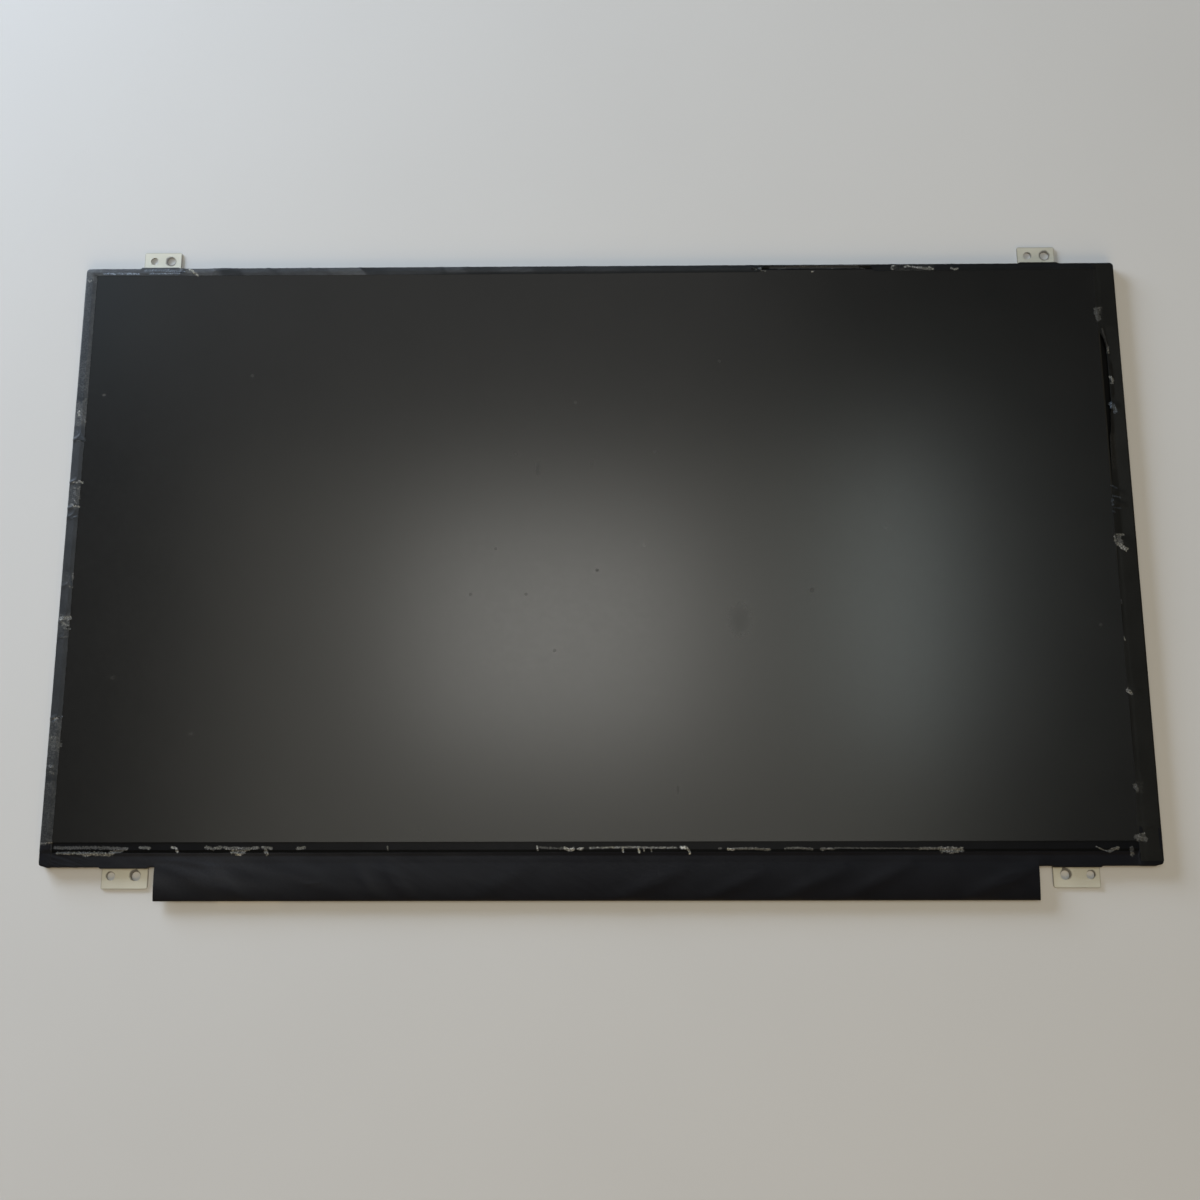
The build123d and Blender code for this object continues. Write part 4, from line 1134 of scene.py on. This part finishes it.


# torn paper and glue, and strokes of painted highlight on curled tape: each bit is a path, its half breadth, its
# paleness and the share covered
tornBitsAndGlints = {
    "thickness": 0.025,
    "rise": 0.006,
    "pitch": 0.1,
    "margin": (0.15, 0.1),  # inside the body's outline
    "glassResidue": [
        ([(-174.6, -97.0), (-162.5, -96.9), (-151.6, -97.3)], 0.5, 0.25, 0.55),
        ([(-173.8, -98.6), (-170.4, -98.7), (-166.4, -98.6)], 0.42, 0.45, 0.85),
        ([(-165.4, -99.0), (-161.6, -98.8), (-157.5, -99.1), (-155.9, -98.6)], 0.62, 0.5, 0.85),
        ([(-156.0, -98.4), (-153.6, -97.8), (-151.6, -97.3)], 0.55, 0.38, 0.8),
        ([(-168.5, -98.4), (-167.4, -98.5)], 0.2, 0.8, 1.0),
        ([(-147.1, -96.9), (-144.1, -97.1)], 0.41, 0.45, 0.8),
        ([(-136.9, -96.9), (-135.5, -97.2), (-135.2, -98.3)], 0.41, 0.65, 0.8),
        ([(-126.1, -96.8), (-123.8, -97.4), (-121.3, -96.9)], 0.49, 0.45, 0.7),
        ([(-120.0, -96.9), (-118.2, -97.4)], 0.4, 0.5, 0.7),
        ([(-117.2, -98.1), (-115.4, -98.6), (-114.0, -98.2)], 0.8, 0.52, 0.85),
        ([(-116.2, -99.2), (-114.8, -99.3)], 0.3, 0.8, 1.0),
        ([(-113.4, -97.9), (-111.8, -97.3), (-109.2, -97.0)], 0.45, 0.5, 0.75),
        ([(-118.0, -97.0), (-112.0, -97.2)], 0.4, 0.38, 0.65),
        ([(-107.8, -97.0), (-104.9, -97.2)], 0.42, 0.42, 0.75),
        ([(-106.8, -97.6), (-106.4, -99.0)], 0.55, 0.5, 0.8),
        ([(-96.7, -97.3), (-94.3, -97.1)], 0.41, 0.5, 0.8),
        ([(-67.7, -96.7), (-67.5, -97.8)], 0.21, 0.4, 1.0),
        ([(-19.7, -96.6), (-19.5, -97.9)], 0.24, 0.65, 1.0),
        ([(-18.8, -97.1), (-11.6, -97.4)], 0.4, 0.28, 0.5),
        ([(-10.9, -97.3), (-9.2, -97.9), (-8.1, -97.4)], 0.48, 0.9, 0.9),
        ([(-6.6, -97.6), (-5.2, -97.4)], 0.4, 0.8, 0.9),
        ([(-2.8, -97.3), (3.6, -97.1), (10.0, -97.0), (15.6, -97.2), (24.7, -97.2)], 0.3, 0.6, 0.72),
        ([(7.6, -97.1), (7.8, -98.6)], 0.2, 0.9, 1.0),
        ([(12.7, -97.3), (12.9, -98.7)], 0.28, 0.9, 1.0),
        ([(14.5, -97.3), (14.5, -98.3)], 0.2, 0.8, 1.0),
        ([(16.7, -97.3), (16.9, -98.4)], 0.2, 0.8, 1.0),
        ([(26.3, -97.2), (28.0, -97.2), (28.8, -98.0), (29.1, -98.9)], 0.4, 1.0, 0.9),
        ([(38.5, -97.5), (39.1, -97.5)], 0.24, 0.4, 1.0),
        ([(41.3, -97.7), (42.9, -97.9)], 0.4, 0.75, 0.9),
        ([(42.9, -97.7), (48.3, -97.5), (54.5, -97.8)], 0.4, 0.45, 0.7),
        ([(59.6, -97.5), (63.5, -97.4), (68.1, -97.7)], 0.38, 0.38, 0.65),
        ([(71.0, -97.7), (75.4, -97.6)], 0.38, 0.42, 0.7),
        ([(75.4, -97.4), (102.5, -97.6)], 0.26, 0.26, 0.5),
        ([(102.5, -97.6), (109.6, -97.6)], 0.4, 0.45, 0.7),
        ([(109.6, -97.9), (112.7, -98.2), (115.6, -97.9)], 0.85, 0.55, 0.85),
        ([(158.5, -97.1), (160.4, -98.0), (162.7, -98.8)], 0.2, 0.42, 0.8),
        ([(162.4, -98.5), (163.6, -98.0), (165.4, -97.5)], 0.5, 0.46, 0.75),
        ([(169.6, -97.7), (169.8, -99.4)], 0.72, 0.3, 0.65),
        ([(-94.5, -108.9), (-90.5, -108.5), (-87.8, -107.8)], 0.2, 0.24, 1.1),
    ],
    "rightFlakes": [
        ([(172.3, 84.9), (172.6, 83.0), (172.9, 81.6)], 0.85, 0.24, 1.0),
        ([(174.0, 78.0), (175.2, 72.0)], 0.3, 0.13, 1.0),
        ([(175.4, 71.5), (175.5, 69.5)], 0.41, 0.45, 0.8),
        ([(175.4, 60.9), (176.0, 59.9), (176.2, 59.1)], 0.41, 0.5, 0.7),
        ([(175.9, 59.7), (176.2, 59.7)], 0.3, 1.0, 1.0),
        ([(175.5, 58.4), (176.2, 58.4)], 0.2, 0.5, 0.8),
        ([(172.9, 4.9), (175.3, 5.1)], 0.41, 0.5, 0.8),
        ([(172.5, 4.2), (172.4, 2.9), (173.3, 1.8)], 0.41, 0.55, 0.8),
        ([(173.4, 4.2), (173.8, 3.0), (174.0, 2.2)], 1.0, 0.33, 1.1),
        ([(173.3, 1.7), (174.6, 1.1), (176.2, 0.1)], 0.48, 0.65, 0.8),
        ([(174.2, 0.5), (175.7, -0.4)], 0.27, 0.85, 0.9),
        ([(172.8, -17.2), (172.9, -18.3)], 0.15, 0.3, 1.0),
        ([(172.7, -29.5), (172.9, -30.6)], 0.19, 0.4, 1.0),
        ([(172.4, -47.1), (173.6, -48.2)], 0.6, 0.5, 0.75),
        ([(172.2, -77.9), (172.8, -79.3)], 0.6, 0.28, 0.75),
        ([(171.9, -94.3), (174.0, -94.6)], 1.0, 0.3, 0.9),
        ([(172.7, -93.4), (173.9, -93.2)], 0.4, 0.4, 0.8),
    ],
    "leftFlakes": [
        ([(-179.0, 98.5), (-178.2, 97.8), (-177.6, 98.3)], 0.21, 0.5, 0.8),
        ([(-177.3, 99.3), (-176.2, 99.5)], 0.21, 0.35, 0.8),
        ([(-177.0, 53.5), (-175.9, 54.5)], 0.35, 0.3, 0.7),
        ([(-178.5, 49.6), (-178.2, 50.1), (-178.2, 48.8)], 0.35, 0.75, 0.9),
        ([(-177.6, 48.8), (-176.2, 46.3)], 0.84, 0.33, 0.55),
        ([(-178.2, 39.5), (-175.8, 39.4)], 0.21, 0.35, 0.8),
        ([(-178.6, 24.6), (-177.8, 25.0), (-176.7, 24.6)], 0.24, 0.6, 0.9),
        ([(-176.4, 25.2), (-175.2, 24.7)], 0.35, 0.65, 0.8),
        ([(-177.9, 22.8), (-176.5, 22.5), (-175.9, 23.2)], 0.21, 0.4, 0.8),
        ([(-178.2, 17.2), (-177.4, 16.5), (-175.7, 16.2)], 0.28, 0.6, 0.9),
        ([(-178.0, 19.0), (-176.5, 17.6)], 0.28, 0.4, 0.7),
        ([(-177.5, 21.4), (-176.0, 19.3)], 0.7, 0.28, 0.55),
        ([(-175.8, -6.8), (-175.7, -8.7)], 0.23, 0.35, 0.7),
        ([(-176.6, -11.3), (-175.7, -11.7)], 0.3, 0.35, 0.8),
        ([(-178.7, -22.0), (-175.7, -22.1)], 0.68, 0.5, 1.0),
        ([(-177.8, -23.8), (-176.6, -24.9)], 0.8, 0.42, 0.95),
        ([(-176.2, -25.3), (-175.4, -25.7)], 0.38, 0.3, 0.8),
        ([(-178.2, -28.5), (-176.0, -28.3)], 0.19, 0.25, 1.0),
        ([(-178.5, -55.5), (-177.5, -55.4), (-175.7, -54.8)], 0.26, 0.6, 0.9),
        ([(-178.5, -56.6), (-177.4, -56.0)], 0.23, 0.4, 0.8),
        ([(-179.1, -61.7), (-176.6, -61.7)], 0.45, 0.38, 0.55),
        ([(-178.6, -63.9), (-176.4, -63.9)], 1.6, 0.28, 0.5),
        ([(-178.4, -70.7), (-177.3, -71.1)], 0.45, 0.34, 0.7),
        ([(-178.2, -72.9), (-177.1, -73.2)], 0.45, 0.34, 0.65),
        ([(-178.9, -95.5), (-175.8, -95.3)], 0.19, 0.45, 0.9),
    ],
    "topFlakes": [
        ([(-143.8, 102.7), (-142.1, 101.4), (-140.3, 99.9)], 0.32, 1.0, 1.0),
        ([(-144.4, 101.4), (-140.9, 100.9)], 0.41, 0.3, 0.6),
        ([(53.8, 101.1), (55.1, 100.8)], 0.33, 0.4, 0.7),
        ([(56.7, 101.4), (57.2, 100.5)], 0.26, 0.45, 0.8),
        ([(57.9, 100.5), (58.6, 100.1)], 0.26, 0.35, 0.7),
        ([(63.0, 101.0), (65.6, 101.5)], 0.2, 0.3, 0.55),
        ([(60.5, 101.6), (76.0, 101.7), (91.0, 101.7)], 0.5, 0.07, 1.1),
        ([(65.6, 102.0), (73.9, 102.1)], 0.2, 0.28, 0.45),
        ([(74.7, 99.9), (75.2, 99.9)], 0.26, 0.7, 1.0),
        ([(76.4, 101.9), (81.8, 101.9)], 0.2, 0.28, 0.45),
        ([(81.4, 101.3), (82.1, 101.3)], 0.2, 0.45, 1.0),
        ([(85.9, 102.3), (91.0, 102.2)], 0.2, 0.28, 0.45),
        ([(91.9, 101.3), (93.2, 100.9)], 0.25, 0.3, 0.6),
        ([(102.3, 100.9), (102.8, 101.8), (103.7, 102.1)], 0.25, 0.6, 0.9),
        ([(102.5, 100.7), (103.0, 100.4)], 0.19, 0.5, 0.9),
        ([(107.1, 101.4), (107.9, 101.9), (109.0, 101.6)], 0.38, 0.55, 0.7),
        ([(110.0, 101.5), (111.7, 101.1)], 0.32, 0.8, 0.9),
        ([(111.7, 101.2), (115.9, 100.6)], 0.45, 0.45, 0.8),
        ([(115.7, 101.2), (116.9, 100.5)], 0.32, 0.65, 0.9),
        ([(123.2, 101.0), (124.2, 100.4), (125.6, 100.7)], 0.32, 0.65, 0.9),
    ],
    # curled tape catching the window: pale bluish strokes of painted highlight
    "curlGlintStrokes": [
        ([(174.9, 51.0), (175.6, 49.8), (176.2, 48.3)], 0.75, 0.38, 0.75),
        ([(172.4, 22.1), (174.5, 21.2)], 0.25, 0.2, 0.8),
        ([(173.0, 18.4), (175.3, 17.9)], 0.3, 0.22, 0.8),
        ([(172.6, 17.4), (172.6, 15.3)], 0.3, 0.3, 0.8),
        ([(172.7, 14.4), (175.3, 14.2)], 0.2, 0.16, 0.8),
        ([(172.6, 13.2), (173.0, 12.8)], 0.25, 0.35, 0.9),
        ([(-178.1, 42.7), (-176.0, 39.8)], 0.85, 0.18, 0.95),
        ([(-178.2, 39.5), (-175.5, 39.5)], 0.16, 0.35, 0.9),
        ([(-178.3, 12.3), (-176.1, 13.0)], 0.25, 0.4, 0.9),
        ([(-176.8, -7.7), (-175.7, -11.5)], 0.3, 0.2, 0.7),
        ([(-178.7, -56.2), (-175.7, -54.8)], 0.22, 0.6, 0.95),
        ([(-178.6, -56.6), (-177.3, -55.9)], 0.25, 0.35, 0.8),
        ([(-173.5, 100.7), (-167.5, 100.6), (-161.1, 100.6)], 0.3, 0.8, 1.1),
        ([(-158.8, 101.9), (-152.1, 102.0), (-145.7, 101.1)], 0.55, 0.36, 1.1),
        ([(-157.3, 100.6), (-147.4, 100.6), (-145.0, 101.3)], 0.26, 0.7, 1.1),
        ([(53.7, 101.1), (54.9, 100.7)], 0.3, 0.35, 0.9),
        ([(56.2, 101.3), (57.0, 100.9)], 0.25, 0.4, 0.9),
    ],
}


def tornOff(bit, x, y, seed):  # true outside the bit's ragged outline and in its holes
    path, half, tone, share = bit
    away = min(awayFrom(x, y, *ends)[0] for ends in zip(path, path[1:]))
    fray = wobble(x * 1.1 + y * 0.4, y * 1.1 - x * 0.4, seed) + 0.6 * wobble(x * 2.7 - y, y * 2.7 + x, seed)
    fray += 0.5 * wobble(x * 6.1 + y, y * 6.1 - x, seed)
    hole = wobble(x * 1.9 + y * 0.7, y * 1.9 - x * 0.7, seed + 7) + 0.4 * wobble(x * 5.3 - y, y * 5.3 + x, seed + 7)
    return away > half * (1 + 0.6 * fray) or hole > share * 1.2 - 0.1 - 0.5 * away / half


def topLevel(carriers, x, y):  # height in mm of the highest carrier at that place, bridging the narrow gaps
    level = frameFront - tapeCut["thickness"]
    for carrier in carriers:
        hit, place, normal, face = carrier.ray_cast(Vector((x, y, 20)) * mm, Vector((0, 0, -1)))
        if hit:
            level = max(level, place.z / mm)
    return level


def tornBit(name, bit, carriers, seed):
    path, half, tone, share = bit
    lows = [min(place[axis] for place in path) - 2 * half for axis in (0, 1)]
    highs = [max(place[axis] for place in path) + 2 * half for axis in (0, 1)]
    counts = [max(round((high - low) / tornBitsAndGlints["pitch"]), 2) for low, high in zip(lows, highs)]
    sideMargin, endMargin = tornBitsAndGlints["margin"]
    sheet = gridSheet(name, *counts)
    bpy.ops.transform.resize(value=((highs[0] - lows[0]) / 2 * mm, (highs[1] - lows[1]) / 2 * mm, 1))
    bpy.ops.transform.translate(value=((highs[0] + lows[0]) / 2 * mm, (highs[1] + lows[1]) / 2 * mm, 0))
    bpy.ops.object.transform_apply()

    def dropped(middle):
        beside = abs(middle.x) > halfWidth - sideMargin or abs(middle.y) > halfHeight - endMargin
        return beside or tornOff(bit, middle.x, middle.y, seed)

    cutAway(sheet, dropped)
    top = cadBox[1].z / mm - tornBitsAndGlints["thickness"]
    for vertex in sheet.data.vertices:
        x, y = vertex.co.x / mm, vertex.co.y / mm
        rise = tornBitsAndGlints["rise"] * (1.2 + wobble(x * 1.7, y * 1.7, seed + 3))
        vertex.co.z = min(topLevel(carriers, x, y) + rise, top) * mm
    values = sheet.data.attributes.new("wear", "FLOAT", "POINT")
    places = [vertex.co / mm for vertex in sheet.data.vertices]
    values.data.foreach_set("value", [
        max(tone * (0.8 + 0.9 * wobble(at.x * 2.6, at.y * 2.6, seed + 5)), 0.0) for at in places])
    return sheet


def placeTornBitsAndGlints(name, carriers, material):
    sheets = []
    for index, bit in enumerate(tornBitsAndGlints[name]):
        sheet = tornBit(f"{name}{index}", bit, carriers, 50 + index * 1.37)
        if len(sheet.data.polygons):
            sheets.append(sheet)
        else:
            bpy.data.objects.remove(sheet)
    bits = joinPieces(sheets)
    bits.name = name
    thicken(bits, tornBitsAndGlints["thickness"])
    settle(bits, material, "edge_tape")


# floor
floorLook = {"size": 4000, "pale": (0.605, 0.605, 0.60), "shade": (0.565, 0.565, 0.56), "below": 0.03}


def makeFloor():
    bpy.ops.object.select_all(action="DESELECT")
    bpy.ops.mesh.primitive_plane_add(size=floorLook["size"] * mm, location=(0, 0, -floorLook["below"] * mm))
    floor = bpy.context.object
    floor.name = "paleFloor"
    material, tree, sockets = startMaterial("palePaper")
    cloud = noiseAt(tree, objectPlace(tree), 9, 3)
    feed(tree, sockets["Base Color"], mixColour(tree, cloud, colour(floorLook["pale"]), colour(floorLook["shade"])))
    sockets["Roughness"].default_value = 0.8
    floor.data.materials.append(material)


placeCamera()
lightRoom()
makeFloor()
print("camera, light and floor are set")
finishNodes()
print("CAD nodes are finished")
edgeMaterial = makeTapeFinish("edgeTape")
carriers = [
    makeLeftTape(edgeMaterial),
    makeRightTape(makeTapeFinish("sideTape")),
    makeTopTape(edgeMaterial),
    makeLowerTape(makeTapeFinish("boardTape")),
    *[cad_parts[name] for name in ("front_polarizer", "filter_glass", "array_glass", "mid_frame")],
]
print("tapes are laid")
residueMaterial = makeResidueFinish("tornResidue")
for pieceName in ("glassResidue", "rightFlakes", "leftFlakes", "topFlakes"):
    placeTornBitsAndGlints(pieceName, carriers, residueMaterial)
# strokes of painted highlight of the window on curled tape
placeTornBitsAndGlints("curlGlintStrokes", carriers, makeResidueFinish("curledFilmGlint"))
print("torn bits are placed")
